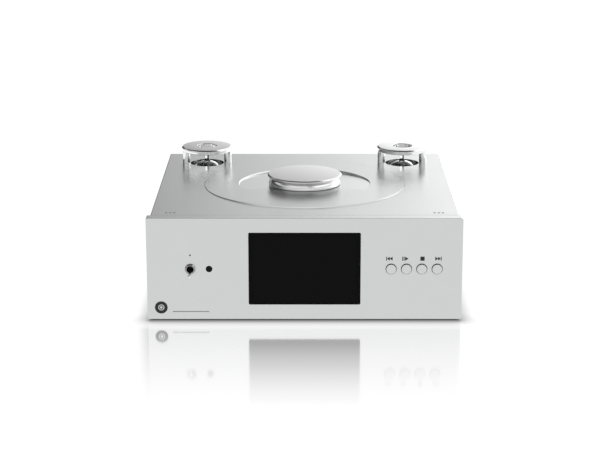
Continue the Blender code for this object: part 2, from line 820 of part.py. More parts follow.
def valve(side, word):
    at = (side * VALVE_X, VALVE_Y, 0)
    dome = [
        (GLASS_RADIUS * math.cos(a), DOME_START + (DOME_TOP - DOME_START) * math.sin(a))
        for a in angles(79, 0, 6)
    ]
    inner_radius = GLASS_RADIUS - GLASS_WALL
    inner_height = DOME_TOP - DOME_START - GLASS_WALL
    inner = [
        (inner_radius * math.cos(a), DOME_START + inner_height * math.sin(a)) for a in angles(0, 90, 5)
    ]
    profile = [
        (0, TIP_TOP),
        (0.9 * MM, TIP_TOP - 0.3 * MM),
        (TIP_RADIUS, TIP_TOP - 1.2 * MM),
        (TIP_RADIUS, DOME_TOP + 0.8 * MM),
        *dome,
        (GLASS_RADIUS, GLASS_BOTTOM),
        (inner_radius, GLASS_BOTTOM),
        *inner[:-1],
        (0, DOME_START + inner_height),
    ]
    turned(f"valve_glass_{word}", profile, "clear_glass", SMALL, at=at)

    mica, plate, stem = 9.4 * MM, 6 * MM, 0.8 * MM
    profile = [
        (0, 64.5 * MM),
        (4 * MM, 64.5 * MM),
        (4 * MM, 64 * MM),
        (stem, 64 * MM),
        (stem, 60 * MM),
        (mica, 60 * MM),
        (mica, 59.5 * MM),
        (plate, 59.5 * MM),
        (plate, 34.5 * MM),
        (mica, 34.5 * MM),
        (mica, 34 * MM),
        (stem, 34 * MM),
        (stem, 31 * MM),
        (mica, 31 * MM),
        (mica, GLASS_BOTTOM),
        (0, GLASS_BOTTOM),
    ]
    turned(f"valve_electrodes_{word}", profile, "dark_metal", TINY, at=at)

    socket = 11.5 * MM
    top = GLASS_BOTTOM - 0.2 * MM
    profile = [
        (0, top),
        (socket - 1 * MM, top),
        (socket, top - 1 * MM),
        (socket, BOARD_TOP + SEAT),
        (0, BOARD_TOP + SEAT),
    ]
    turned(f"valve_socket_{word}", profile, "ceramic", SMALL, at=at)


def valve_cover(side, word):
    """A round cap with a hole, held over the valve on two posts."""
    bottom = COVER_TOP - COVER_THICK
    ring = COVER_RADIUS - 0.6 * MM
    lip = COVER_TOP - 1.1 * MM
    profile = [
        (COVER_HOLE + 0.3 * MM, COVER_TOP),
        (COVER_RADIUS - 0.3 * MM, COVER_TOP),
        (COVER_RADIUS, COVER_TOP - 0.3 * MM),
        (COVER_RADIUS, lip),
        (ring, lip - 0.2 * MM),
        (ring, bottom + 0.3 * MM),
        (ring - 0.3 * MM, bottom),
        (COVER_HOLE, bottom),
        (COVER_HOLE, COVER_TOP - 0.3 * MM),
    ]
    at = (side * VALVE_X, VALVE_Y, 0)
    turned(f"valve_cover_{word}", profile, "polished_aluminium", MIDDLE, closed=True, at=at)
    post_top = bottom - SEAT
    stud = 1.5 * MM
    profile = [
        (0, post_top),
        (POST_RADIUS, post_top),
        (POST_RADIUS, TOP + SEAT),
        (stud, TOP + SEAT),
        (stud, TOP - 5.5 * MM),
        (0, TOP - 5.5 * MM),
    ]
    for step, place in ((-1, "outer" if side < 0 else "inner"), (1, "inner" if side < 0 else "outer")):
        x = side * VALVE_X + step * POST_OFFSET
        turned(f"cover_post_{word}_{place}", profile, "polished_aluminium", TINY, at=(x, VALVE_Y, 0))


# ---------------------------------------------------------------- electronics


def main_board():
    """The populated main board: its own plate, a shielded converter block and round capacitors."""
    half, front, back = 92 * MM, -62 * MM, 80 * MM
    board = box(
        "main_board", (-half, front, BOARD_BOTTOM), (half, back, BOARD_TOP), "circuit_board"
    )
    root, low_top, high_top = BOARD_TOP - 0.5 * MM, 24 * MM, 34 * MM
    block = (-22 * MM, -20 * MM), (22 * MM, 14 * MM)
    fin = (-58 * MM, 20 * MM), (-44 * MM, 44 * MM)
    join(board, box("converter_block", (*block[0], root), (*block[1], low_top)))
    join(board, box("regulator_fin", (*fin[0], root), (*fin[1], high_top)))
    capacitors, pitch, radius, y = 4, 16 * MM, 5 * MM, 50 * MM
    for i in range(capacitors):
        x = (i - (capacitors - 1) / 2) * pitch
        can = cylinder(f"capacitor_{i}", radius, (x, y, root), (x, y, high_top), TINY)
        join(board, can)


def ribbon_cable():
    """The flat cable from the display module down to the main board."""
    start, end = Vector((PANEL_BACK + 5.4 * MM, 30 * MM)), Vector((-50 * MM, BOARD_TOP + 0.6 * MM))
    half_width = 15 * MM
    count = 13
    path = []
    for i in range(count):
        t = i / (count - 1)
        hang_down = math.cos(t * math.pi / 2) ** 2
        path.append((start.x + (end.x - start.x) * t, end.y + (start.y - end.y) * hang_down))
    mesh = bpy.data.meshes.new("ribbon_cable")
    shape = bmesh.new()
    edges = [shape.verts.new((-half_width, y, z)) for y, z in path]
    line = [shape.edges.new(pair) for pair in zip(edges, edges[1:])]
    made = bmesh.ops.extrude_edge_only(shape, edges=line)["geom"]
    moved = [item for item in made if isinstance(item, bmesh.types.BMVert)]
    bmesh.ops.translate(shape, vec=(2 * half_width, 0, 0), verts=moved)
    shape.to_mesh(mesh)
    shape.free()
    cable = add_object("display_ribbon_cable", mesh, "white_ribbon")
    solid = cable.modifiers.new("thickness", "SOLIDIFY")
    solid.thickness = 0.4 * MM
    solid.offset = 0


def xlr_socket(x, word):
    """A three-pin male socket: a square flange, a round shell and its pins."""
    name = f"xlr_socket_{word}"
    half_x, half_z = 13 * MM, 15 * MM
    y = BODY_BACK + SEAT
    flange = 1.9 * MM
    socket = box(
        name,
        (x - half_x, y, XLR_Z - half_z),
        (x + half_x, y + flange, XLR_Z + half_z),
        "steel",
        bevel=0.4 * MM,
    )
    back = BODY_BACK - 12 * MM
    join(socket, cylinder(name + "_shell", XLR_RADIUS, (x, back, XLR_Z), (x, y + 1 * MM, XLR_Z), SMALL))
    cut(
        socket,
        cylinder(name + "_mouth", 9 * MM, (x, back + 3 * MM, XLR_Z), (x, y + 5 * MM, XLR_Z), SMALL),
    )
    for i in range(3):
        a = math.radians(90 + 120 * i)
        px, pz = x + 4 * MM * math.cos(a), XLR_Z + 4 * MM * math.sin(a)
        pin = cylinder(f"{name}_pin_{i}", 1.2 * MM, (px, back + 2 * MM, pz), (px, BODY_BACK, pz), 10)
        join(socket, pin)


def rear_sockets():
    for x, word in zip(XLR_X, ("left", "right")):
        xlr_socket(x, word)
    barrel, nut, bore = 4.1 * MM, 6.2 * MM, 1.6 * MM
    profile = [
        (0, 1 * MM),
        (bore, 1 * MM),
        (bore, SOCKET_REACH),
        (barrel, SOCKET_REACH),
        (barrel, 2.4 * MM),
        (nut, 2.4 * MM),
        (nut, SEAT),
        (barrel, SEAT),
        (barrel, -9 * MM),
        (0, -9 * MM),
    ]
    for name, (x, z) in RCA_PLACES.items():
        turned(name, profile, "gold", TINY, at=(x, BODY_BACK, z), turn=TO_REAR)

    rim, body, mouth, pin = 5.8 * MM, 4.2 * MM, 2.8 * MM, 1 * MM
    profile = [
        (0, 0),
        (pin, 0),
        (pin, -8 * MM),
        (mouth, -8 * MM),
        (mouth, 1.8 * MM),
        (rim, 1.8 * MM),
        (rim, SEAT),
        (body, SEAT),
        (body, -10 * MM),
        (0, -10 * MM),
    ]
    turned("dc_socket", profile, "black_plastic", TINY, at=(DC_X, BODY_BACK, LOW_SOCKET_Z), turn=TO_REAR)

    half, throat = OPTICAL_SIDE / 2, 3.2 * MM
    optical = box(
        "optical_socket",
        (OPTICAL_X - half, BODY_BACK - 10 * MM, LOW_SOCKET_Z - half),
        (OPTICAL_X + half, BODY_BACK + 1.6 * MM, LOW_SOCKET_Z + half),
        "black_plastic",
        bevel=0.4 * MM,
    )
    cut(
        optical,
        box(
            "optical_throat",
            (OPTICAL_X - throat, BODY_BACK - 7 * MM, LOW_SOCKET_Z - throat),
            (OPTICAL_X + throat, BODY_BACK + 4 * MM, LOW_SOCKET_Z + throat),
        ),
    )


empty_scene()
PARTS = collection("cd_player")
CUTTERS = collection("cutters")

front_panel()
top_plate()
walls()
base_and_feet()
display()
buttons()
power_switch()
ir_window_and_led()

lid_lift = pivot("lid_lift_axis", (0, 0, TOP))
for carried in (lid_plate(), lid_knob(), *clamp()):
    hang(carried, lid_lift)

disc_well()
spindle()
drive_chassis()
laser_sled()
sled_drive()
for side, word in ((-1, "left"), (1, "right")):
    valve(side, word)
    valve_cover(side, word)
main_board()
ribbon_cable()
rear_sockets()
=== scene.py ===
"""The looks of a top-loading CD player with two valves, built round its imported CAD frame.

Every size comes from the frame's boxes or is given here, in millimetres times MM.
"""

import json
import math

import bmesh
import bpy
from mathutils import Matrix, Vector


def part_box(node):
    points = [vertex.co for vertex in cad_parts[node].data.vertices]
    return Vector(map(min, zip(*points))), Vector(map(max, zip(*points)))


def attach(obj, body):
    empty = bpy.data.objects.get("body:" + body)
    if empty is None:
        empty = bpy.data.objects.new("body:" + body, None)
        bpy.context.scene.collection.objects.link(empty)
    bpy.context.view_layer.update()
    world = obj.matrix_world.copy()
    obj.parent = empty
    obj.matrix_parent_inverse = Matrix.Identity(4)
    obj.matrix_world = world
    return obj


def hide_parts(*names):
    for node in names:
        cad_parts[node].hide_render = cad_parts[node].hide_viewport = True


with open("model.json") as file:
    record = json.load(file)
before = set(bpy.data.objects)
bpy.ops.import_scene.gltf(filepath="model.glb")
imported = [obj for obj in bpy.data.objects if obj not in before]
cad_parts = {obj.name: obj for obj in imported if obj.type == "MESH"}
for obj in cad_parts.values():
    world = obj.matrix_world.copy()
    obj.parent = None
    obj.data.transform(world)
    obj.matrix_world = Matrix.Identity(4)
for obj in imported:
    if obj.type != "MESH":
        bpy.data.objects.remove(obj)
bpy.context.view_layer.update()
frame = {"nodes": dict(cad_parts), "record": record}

MM = 0.001
FINE = 160  # steps of a full turn on the large turned pieces
ROUND = 96  # steps on the small ones
SMALL = 64  # steps on the smallest
SHARP = math.radians(32)  # a steeper edge is shaded sharp
CORNER = math.radians(60)  # a steeper edge is bevelled
SAME = 1e-7  # points closer than this, in metres, are one point
PRINT = 0.02 * MM  # thickness of printed marks
TO_FRONT = (math.pi / 2, 0, 0)  # rotations that turn a piece's own Z axis to the front or rear
TO_REAR = (-math.pi / 2, 0, 0)


# ---------------------------------------------------------------- places read from the frame


def sized(node):
    """A node's low and high corners, its middle, and half its width, the radius of a round node."""
    low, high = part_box(node)
    return low, high, (low + high) / 2, (high.x - low.x) / 2


def middle(node):
    return sized(node)[2]


PANEL_LOW, PANEL_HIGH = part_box("front_panel")
PANEL_FRONT, PANEL_BACK = PANEL_LOW.y, PANEL_HIGH.y
PLATE_LOW, PLATE_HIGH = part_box("top_plate")
TOP = PLATE_HIGH.z
PLATE_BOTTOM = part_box("side_panel_left")[1].z + 0.1 * MM
BODY_BACK = PLATE_HIGH.y
LID_LOW, LID_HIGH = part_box("lid_plate")
LID_RADIUS, LID_BOTTOM = LID_HIGH.x, LID_LOW.z
BUTTONS = ("button_previous", "button_play_pause", "button_stop", "button_next")
BUTTON_HEIGHT = middle("button_stop").z
SIDES = ("left", "right")

# Sizes the boxes don't give
LID_GAP = 0.15 * MM
SCOOP_RADIUS = 45.6 * MM
SCOOP_DEPTH = 1.7 * MM
SCOOP_START = -10 * MM  # the Y at which the scoop's floor leaves the top
STEM_RADIUS = 8 * MM
OPENING_RADIUS = 63 * MM
VALVE_HOLE = 12.2 * MM
DOME_START = 63.5 * MM
DOME_TOP = 72.3 * MM
LEVER_TILT = math.radians(13)
BUTTON_RADIUS = 3.3 * MM
BUTTON_GAP = 0.27 * MM
RIM = 0.1 * MM  # the rounding of the mouths of holes


# ---------------------------------------------------------------- mesh helpers


def rounded(points, steps=4):
    """A profile in which a point (a, b, radius) becomes a short curve instead of a corner."""
    made = []
    for i, point in enumerate(points):
        here = Vector(point[:2])
        if len(point) == 2 or i in (0, len(points) - 1):
            made.append(here)
            continue
        before, after = Vector(points[i - 1][:2]) - here, Vector(points[i + 1][:2]) - here
        size = min(point[2], 0.48 * before.length, 0.48 * after.length)
        start, end = here + before.normalized() * size, here + after.normalized() * size
        for k in range(steps + 1):
            t = k / steps
            made.append(start * (1 - t) ** 2 + here * 2 * t * (1 - t) + end * t**2)
    return made


def arc(centre, radius, first, last, count, squeeze=1.0):
    """Points along an arc, from two angles in degrees. squeeze scales the second axis."""
    made = []
    for i in range(count):
        a = math.radians(first + (last - first) * i / (count - 1))
        made.append((centre[0] + radius * math.cos(a), centre[1] + radius * squeeze * math.sin(a)))
    return made


def thirds(centre, radius):
    """Three points evenly round a centre, the first at the top."""
    angles = [math.radians(90 + 120 * i) for i in range(3)]
    return [(centre[0] + radius * math.cos(a), centre[1] + radius * math.sin(a)) for a in angles]


def rectangle(a_low, b_low, a_high, b_high, radius=0.0):
    """A rectangle's outline, with round corners if it has a radius."""
    if not radius:
        return [(a_low, b_low), (a_high, b_low), (a_high, b_high), (a_low, b_high)]
    left, right, low, high = a_low + radius, a_high - radius, b_low + radius, b_high - radius
    made = []
    for i, corner in enumerate(((right, low), (right, high), (left, high), (left, low))):
        made += arc(corner, radius, 90 * i - 90, 90 * i, 6)
    return made


def smooth(obj):
    obj.data.shade_smooth()
    obj.data.set_sharp_from_angle(angle=SHARP)
    return obj


def new_object(name, shape, material=None):
    """An object from a bmesh, which is freed."""
    mesh = bpy.data.meshes.new(name)
    shape.to_mesh(mesh)
    shape.free()
    if material:
        mesh.materials.append(material)
    obj = bpy.data.objects.new(name, mesh)
    bpy.context.scene.collection.objects.link(obj)
    return smooth(obj)


def weight_normals(obj):
    """Keeps the broad faces flat where they meet rounded edges."""
    modifier = obj.modifiers.new("normals", "WEIGHTED_NORMAL")
    modifier.keep_sharp = True
    return obj


def repaint(obj, material, chosen):
    """Gives the chosen faces a second material."""
    obj.data.materials.append(material)
    for face in obj.data.polygons:
        if chosen(face):
            face.material_index = 1


def turned(name, profile, material, steps=ROUND, at=(0, 0, 0), turn=(0, 0, 0), closed=False):
    """A turned piece from a profile of (radius, height), or from a function that gives it per angle."""
    shape = bmesh.new()
    turns = [math.tau * i / steps for i in range(steps)]
    rings = []
    for points in zip(*[profile(a) if callable(profile) else profile for a in turns]):
        if points[0][0] < SAME:
            rings.append([shape.verts.new((0, 0, points[0][1]))] * steps)
            continue
        places = [(r * math.cos(a), r * math.sin(a), z) for a, (r, z) in zip(turns, points)]
        rings.append([shape.verts.new(co) for co in places])
    pairs = list(zip(rings, rings[1:]))
    if closed:
        pairs.append((rings[-1], rings[0]))
    for upper, lower in pairs:
        for i in range(steps):
            j = (i + 1) % steps
            corners = list(dict.fromkeys((upper[i], lower[i], lower[j], upper[j])))
            if len(corners) > 2:
                shape.faces.new(corners)
    if callable(profile):
        bmesh.ops.remove_doubles(shape, verts=shape.verts, dist=SAME)
    bmesh.ops.recalc_face_normals(shape, faces=shape.faces)
    obj = new_object(name, shape, material)
    obj.location = at
    obj.rotation_euler = turn
    return obj


def round_edges(shape, edges, width, segments=2, clamp=False):
    """Bevels the steep ones of a mesh's edges."""
    rims = [e for e in edges if abs(e.calc_face_angle(0)) > CORNER]
    settings = {"segments": segments, "affect": "EDGES", "profile": 0.5, "clamp_overlap": clamp}
    bmesh.ops.bevel(shape, geom=rims, offset=width, **settings)


def slab(name, outline, start, end, axis, material=None, bevel=0.0, segments=3):
    """A flat outline drawn out along an axis. Outline points lie in the other two axes, in order."""
    along = "XYZ".index(axis)
    others = [i for i in range(3) if i != along]
    shape = bmesh.new()
    corners = []
    for a, b in outline:
        co = [start, start, start]
        co[others[0]], co[others[1]] = a, b
        corners.append(shape.verts.new(co))
    made = bmesh.ops.extrude_face_region(shape, geom=[shape.faces.new(corners)])["geom"]
    shift = [0, 0, 0]
    shift[along] = end - start
    bmesh.ops.translate(shape, vec=shift, verts=[v for v in made if isinstance(v, bmesh.types.BMVert)])
    bmesh.ops.recalc_face_normals(shape, faces=shape.faces)
    if bevel:
        round_edges(shape, shape.edges, bevel, segments, True)
    return new_object(name, shape, material)


def aim(obj, direction):
    """Turns an object's own Z axis to a direction."""
    obj.rotation_mode = "QUATERNION"
    obj.rotation_quaternion = Vector((0, 0, 1)).rotation_difference(Vector(direction))
    return obj


def rod(name, start, end, radius, material):
    """A straight round rod with slightly broken edges."""
    way = Vector(end) - Vector(start)
    length, edge = way.length, 0.15 * radius
    half = [(0, length), (radius - edge, length), (radius, length - edge)]
    profile = [*half, (radius, edge), (radius - edge, 0), (0, 0)]
    return aim(turned(name, profile, material, 24, at=start), way)


def hole(radius, start, end, steps=ROUND):
    """A plain round cutter."""
    way = Vector(end) - Vector(start)
    profile = [(0, way.length), (radius, way.length), (radius, 0), (0, 0)]
    return aim(turned("hole", profile, None, steps, at=start), way)


def carve(obj, *tools):
    """Cuts the tools out of an object, then removes them."""
    for tool in tools:
        modifier = obj.modifiers.new(tool.name, "BOOLEAN")
        modifier.operation = "DIFFERENCE"
        modifier.solver = "EXACT"
        modifier.object = tool
    bpy.context.view_layer.update()
    graph = bpy.context.evaluated_depsgraph_get()
    mesh = bpy.data.meshes.new_from_object(obj.evaluated_get(graph))
    obj.modifiers.clear()
    obj.data = mesh
    for tool in tools:
        bpy.data.objects.remove(tool)
    return smooth(obj)


def break_rims(obj, axis, level):
    """Rounds the sharp edges that lie in one plane, such as the mouths of holes."""
    k = "XYZ".index(axis)
    shape = bmesh.new()
    shape.from_mesh(obj.data)
    flat = [e for e in shape.edges if all(abs(v.co[k] - level) < 10 * SAME for v in e.verts)]
    round_edges(shape, [e for e in flat if len(e.link_faces) == 2], RIM)
    shape.to_mesh(obj.data)
    shape.free()
    smooth(obj)


def place(obj, body, *nodes):
    """Rides obj on a body, looks up its material's slot, which must exist, and hides the CAD nodes that
    it stands for.
    """
    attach(obj, body)
    next(slot for slot, materials in SLOTS.items() if obj.data.materials[0] in materials)
    if nodes:
        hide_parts(*nodes)


# ---------------------------------------------------------------- materials


def rgba(value):
    """A colour with its alpha, from a grey or from three numbers."""
    return (value, value, value, 1) if isinstance(value, (int, float)) else (*value, 1)


class Nodes:
    """Short ways to build a node tree. Another node's output or a plain value may feed a socket."""

    def __init__(self, tree):
        self.tree = tree

    def feed(self, socket, value):
        if isinstance(value, bpy.types.NodeSocket):
            self.tree.links.new(value, socket)
        else:
            socket.default_value = rgba(value) if socket.type == "RGBA" else value

    def node(self, kind, inputs=None, **settings):
        made = self.tree.nodes.new("ShaderNode" + kind)
        for key, value in settings.items():
            setattr(made, key, value)
        for key, value in (inputs or {}).items():
            self.feed(made.inputs[key], value)
        return made

    def maths(self, operation, first, second=0.5):
        return self.node("Math", {0: first, 1: second}, operation=operation).outputs["Value"]

    def split(self, vector):
        """A vector's X, Y and Z."""
        return tuple(self.node("SeparateXYZ", {"Vector": vector}).outputs)

    def join(self, **parts):
        """A vector from its X and, where it has one, its Y."""
        return self.node("CombineXYZ", parts).outputs["Vector"]

    def ranged(self, value, low, high, to_low=0.0, to_high=1.0, kind="LINEAR"):
        """Moves a number from one range to another, and holds it at the ends."""
        ends = {"From Min": low, "From Max": high, "To Min": to_low, "To Max": to_high}
        return self.node("MapRange", {"Value": value, **ends}, interpolation_type=kind).outputs["Result"]

    def ramp(self, value, stops):
        """Colours or greys along a number. The stops lie between 0 and 1."""
        made = self.node("ValToRGB", {"Fac": value})
        elements = made.color_ramp.elements
        while len(elements) < len(stops):
            elements.new(0.5)
        for element, (along, colour) in zip(elements, stops):
            element.position = along
            element.color = rgba(colour)
        return made.outputs["Color"]

    def blend(self, factor, first, second, kind="MIX"):
        inputs = {"Factor": factor, "A": first, "B": second}
        return self.node("Mix", inputs, data_type="RGBA", blend_type=kind).outputs["Result"]


class Finish(Nodes):
    """A Principled material with helpers for procedural detail."""

    def __init__(self, name, colour, roughness, metallic=0.0, **inputs):
        self.material = bpy.data.materials.new(name)
        self.material.use_nodes = True
        super().__init__(self.material.node_tree)
        self.sockets = self.tree.nodes["Principled BSDF"].inputs
        self.colour, self.roughness = colour, roughness
        inputs |= {"Base_Color": colour, "Roughness": roughness, "Metallic": metallic}
        for key, value in inputs.items():
            self.feed(self.sockets[key.replace("_", " ")], value)
        self.material.diffuse_color = rgba(colour)
        self.coordinates = self.node("TexCoord").outputs["Object"]

    def noise(self, scale, detail=3.0, stretch=(1, 1, 1), roughness=0.6, vector=None):
        mapping = self.node("Mapping", {"Scale": stretch, "Vector": vector or self.coordinates})
        inputs = {"Vector": mapping.outputs["Vector"], "Scale": scale, "Detail": detail}
        return self.node("TexNoise", {**inputs, "Roughness": roughness}).outputs["Fac"]

    def rings(self, scale):
        """Noise that changes only with the distance from the piece's own Z axis."""
        x, y, _ = self.split(self.coordinates)
        length = self.node("VectorMath", {0: self.join(X=x, Y=y)}, operation="LENGTH")
        return self.noise(scale, 2.0, vector=self.join(X=length.outputs["Value"]))

    def vary_roughness(self, value, spread):
        low, high = self.roughness - spread, self.roughness + spread
        self.feed(self.sockets["Roughness"], self.ranged(value, 0.25, 0.75, low, high))

    def vary_colour(self, value, spread):
        """Darkens and lightens the base colour by up to spread."""
        darker, lighter = [[min(1, c * k) for c in self.colour] for k in (1 - spread, 1 + spread)]
        self.feed(self.sockets["Base Color"], self.blend(value, darker, lighter))

    def paint_shade_in_reflections(self, share):
        """Painted shade: keeps only a share of the colour where a blurred metal face reflects it, so the
        piece's reflection looks darker.
        """
        base = self.sockets["Base Color"]
        seen = self.node("LightPath").outputs["Is Glossy Ray"]
        self.feed(base, self.blend(seen, base.links[0].from_socket, share, "MULTIPLY"))

    def bump(self, height, strength, depth):
        inputs = {"Height": height, "Strength": strength, "Distance": depth}
        self.feed(self.sockets["Normal"], self.node("Bump", inputs).outputs["Normal"])


def grained(name, colour, roughness, metallic=0.0, relief=None, gloss=None, tint=None, **inputs):
    """A finish with a relief (noise, strength, depth in millimetres) and with a gloss and a tint that
    vary (noise, spread). Each noise is its scale, its detail and, for some, its stretch."""
    made = Finish(name, colour, roughness, metallic, **inputs)
    if relief:
        made.bump(made.noise(*relief[0]), relief[1], relief[2] * MM)
    if gloss:
        made.vary_roughness(made.noise(*gloss[0]), gloss[1])
    if tint:
        made.vary_colour(made.noise(*tint[0]), tint[1])
    return made.material


def blasted_aluminium(name, colour, roughness, grain=0.10):
    """Fine blasted and anodised aluminium."""
    relief = ((5200, 3), grain, 0.01)
    return grained(name, colour, roughness, 1.0, relief, ((160, 4), 0.02), ((38, 3), 0.012))


def machined_steel(name, colour, roughness):
    relief = ((2600, 3, (1, 1, 8)), 0.15, 0.006)
    return grained(name, colour, roughness, 1.0, relief, ((220, 3), 0.06), ((90, 2), 0.04))


def moulded_plastic(name, colour, roughness, grain=0.25, specular=0.5):
    looks = {"relief": ((3200, 2), grain, 0.02), "gloss": ((140, 3), 0.05), "tint": ((70, 2), 0.08)}
    return grained(name, colour, roughness, **looks, Specular_IOR_Level=specular)


def print_ink(name, grey):
    return grained(name, (grey, grey, grey), 0.55, gloss=((700, 2), 0.05), tint=((900, 2), 0.1))


def turned_aluminium(name, colour, roughness, scale=5200, spread=0.03, mirrored=1.0):
    """Aluminium with the fine rings of a lathe tool. In other faces' reflections its colour is cut to the
    mirrored share, as painted shade.
    """
    made = Finish(name, colour, roughness, 1.0)
    rings = made.rings(scale)
    made.bump(rings, 0.12, 0.004 * MM)
    made.vary_roughness(rings, spread)
    made.vary_colour(made.noise(60, 2.0), 0.015)
    made.paint_shade_in_reflections(mirrored)
    return made.material


def display_black():
    """Black cover glass whose lit area is a shade lighter than its border."""
    made = Finish("display_black_glass", (0.0028, 0.0027, 0.0027), 0.09, Specular_IOR_Level=0.05)
    low, high, centre, _ = sized("display_window")
    x, _, z = made.split(made.coordinates)
    inside = []
    for value, k, border in ((x, 0, 3.2 * MM), (z, 2, 2.6 * MM)):
        away = made.maths("ABSOLUTE", made.maths("SUBTRACT", value, centre[k]))
        inside.append(made.maths("LESS_THAN", away, (high - low)[k] / 2 - border))
    made.vary_colour(made.maths("MULTIPLY", *inside), 0.16)
    made.vary_roughness(made.noise(90), 0.015)
    return made.material


def getter_mirror():
    """The dark metal film flashed inside a valve's dome, with lighter rays from the tip painted in as
    highlights.
    """
    made = Finish("getter_mirror", (0.02, 0.021, 0.023), 0.14, 0.6, Specular_IOR_Level=0.1)
    x, y, _ = made.split(made.coordinates)
    round_axis = made.join(X=made.maths("ARCTAN2", y, x))
    highlight_rays = made.noise(5.5, 4.0, roughness=0.7, vector=round_axis)
    film, ray_highlight = (0.004, 0.004, 0.005), (0.16, 0.165, 0.17)
    # the lighter rays are painted highlights on the dark film
    made.feed(made.sockets["Base Color"], made.ramp(highlight_rays, ((0.6, film), (0.72, ray_highlight))))
    made.vary_roughness(highlight_rays, 0.08)
    return made.material


def circuit_board():
    """Green solder mask over a faint pattern of tracks."""
    made = Finish("solder_mask", (0.012, 0.13, 0.055), 0.4)
    inputs = {"Scale": 160, "Vector": made.coordinates}
    tracks = made.node("TexVoronoi", inputs, feature="DISTANCE_TO_EDGE")
    line = made.ranged(tracks.outputs["Distance"], 0.04, 0.09)
    made.vary_colour(line, 0.35)
    made.bump(line, 0.3, 0.02 * MM)
    return made.material


CASE = blasted_aluminium("case_aluminium", (0.635, 0.643, 0.641), 0.38)
DECK = blasted_aluminium("deck_aluminium", (0.80, 0.805, 0.81), 0.235, 0.05)
# the knob and the covers keep only half and most of their colour in reflections: painted shade under them
BRIGHT = turned_aluminium("knob_aluminium", (0.84, 0.84, 0.84), 0.17, mirrored=0.5)
COVER = turned_aluminium("cover_aluminium", (0.92, 0.92, 0.925), 0.13, mirrored=0.8)
CHROME = turned_aluminium("switch_chrome", (0.78, 0.78, 0.79), 0.07, 900, 0.015)
NUT = turned_aluminium("switch_nut", (0.4, 0.4, 0.41), 0.12, 900, 0.015)
BUTTON = turned_aluminium("button_aluminium", (0.61, 0.615, 0.612), 0.2, 4000, 0.03)
# darker aluminium for the top plate's side bevels: painted shade
EDGE = turned_aluminium("edge_shade_aluminium", (0.3, 0.3, 0.305), 0.2)
GOLD = turned_aluminium("plug_gold", (0.83, 0.62, 0.27), 0.2, 1400, 0.05)
STEEL = machined_steel("machined_steel", (0.56, 0.56, 0.57), 0.28)
DARK_METAL = machined_steel("dark_satin_metal", (0.1, 0.1, 0.11), 0.4)
GRAPHITE = machined_steel("anode_metal", (0.2, 0.2, 0.21), 0.45)
DARK = moulded_plastic("black_moulding", (0.018, 0.018, 0.019), 0.5)
IR_BLACK = moulded_plastic("ir_window_black", (0.004, 0.0035, 0.004), 0.12, 0.03, 0.1)
WHITE_RING = moulded_plastic("white_insulator", (0.75, 0.75, 0.73), 0.4, 0.1)
RED_RING = moulded_plastic("red_insulator", (0.5, 0.02, 0.02), 0.4, 0.1)
RIBBON = moulded_plastic("ribbon_film", (0.72, 0.72, 0.7), 0.45, 0.1)
INK = print_ink("black_ink", 0.004)
GREY_INK = print_ink("grey_ink", 0.22)
RUBBER = grained(
    "foot_rubber", (0.022, 0.022, 0.022), 0.82, relief=((2400, 4), 0.4, 0.03), tint=((120, 3), 0.2)
)
CERAMIC = grained(
    "valve_ceramic", (0.78, 0.76, 0.7), 0.55, relief=((1500, 4), 0.3, 0.02), tint=((200, 4), 0.06)
)
MICA = grained(
    "mica_sheet", (0.62, 0.56, 0.42), 0.25, relief=((900, 2), 0.2, 0.01),
    tint=((400, 3, (1, 3, 1)), 0.15), Transmission_Weight=0.35,
)
GLASS = grained(
    "valve_clear_glass", (0.97, 0.985, 0.98), 0.015, relief=((90, 2), 0.05, 0.05),
    gloss=((60, 3), 0.008), Transmission_Weight=1.0, IOR=1.36,
)
LENS_BLUE = Finish("lens_coating", (0.05, 0.08, 0.22), 0.04, 0.2, Coat_Weight=1.0).material
DISPLAY = display_black()
GETTER = getter_mirror()
BOARD = circuit_board()

# The materials of each slot. The CAD pieces that stay visible get the first.
SLOTS = {
    "silver_aluminium": (CASE, DECK, BUTTON, EDGE),
    "polished_aluminium": (BRIGHT, COVER),
    "steel": (STEEL,),
    "chrome": (CHROME, NUT),
    "gold": (GOLD,),
    "black_glass": (DISPLAY, IR_BLACK, LENS_BLUE),
    "clear_glass": (GLASS,),
    "black_plastic": (DARK, INK, GREY_INK, WHITE_RING, RED_RING),
    "dark_metal": (DARK_METAL, GRAPHITE, GETTER),
    "rubber": (RUBBER,),
    "circuit_board": (BOARD,),
    "ceramic": (CERAMIC, MICA),
    "white_ribbon": (RIBBON,),
}


# ---------------------------------------------------------------- case


def front_panel():
    outline = rectangle(PANEL_LOW.x, PANEL_LOW.z, PANEL_HIGH.x, PANEL_HIGH.z, 1.0 * MM)
    panel = slab("front_panel_face", outline, PANEL_FRONT, PANEL_BACK, "Y", CASE, 0.35 * MM)
    beyond, rebate, corner = 2 * MM, 2.2 * MM, 0.9 * MM
    near, far = PANEL_FRONT - beyond, PANEL_BACK + beyond
    low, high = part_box("display_window")
    tools = []
    for inset, end in ((-0.15 * MM, PANEL_FRONT + rebate), (1.6 * MM, far)):
        outline = rectangle(low.x + inset, low.z + inset, high.x - inset, high.z - inset, corner)
        tools.append(slab("opening", outline, near, end, "Y"))
    mouths = {name: BUTTON_RADIUS + BUTTON_GAP for name in BUTTONS}
    mouths |= {"power_switch": 3.2 * MM, "ir_window": 2.17 * MM, "status_led": 0.55 * MM}
    for name, radius in mouths.items():
        centre = middle(name)
        tools.append(hole(radius, (centre.x, near, centre.z), (centre.x, far, centre.z)))
    carve(panel, *tools)
    break_rims(panel, "Y", PANEL_FRONT)
    # the upper edge takes the deck's lighter finish, painted light on the faces that look up
    repaint(panel, DECK, lambda face: face.normal.z > 0.6)
    place(weight_normals(panel), "case", "front_panel")


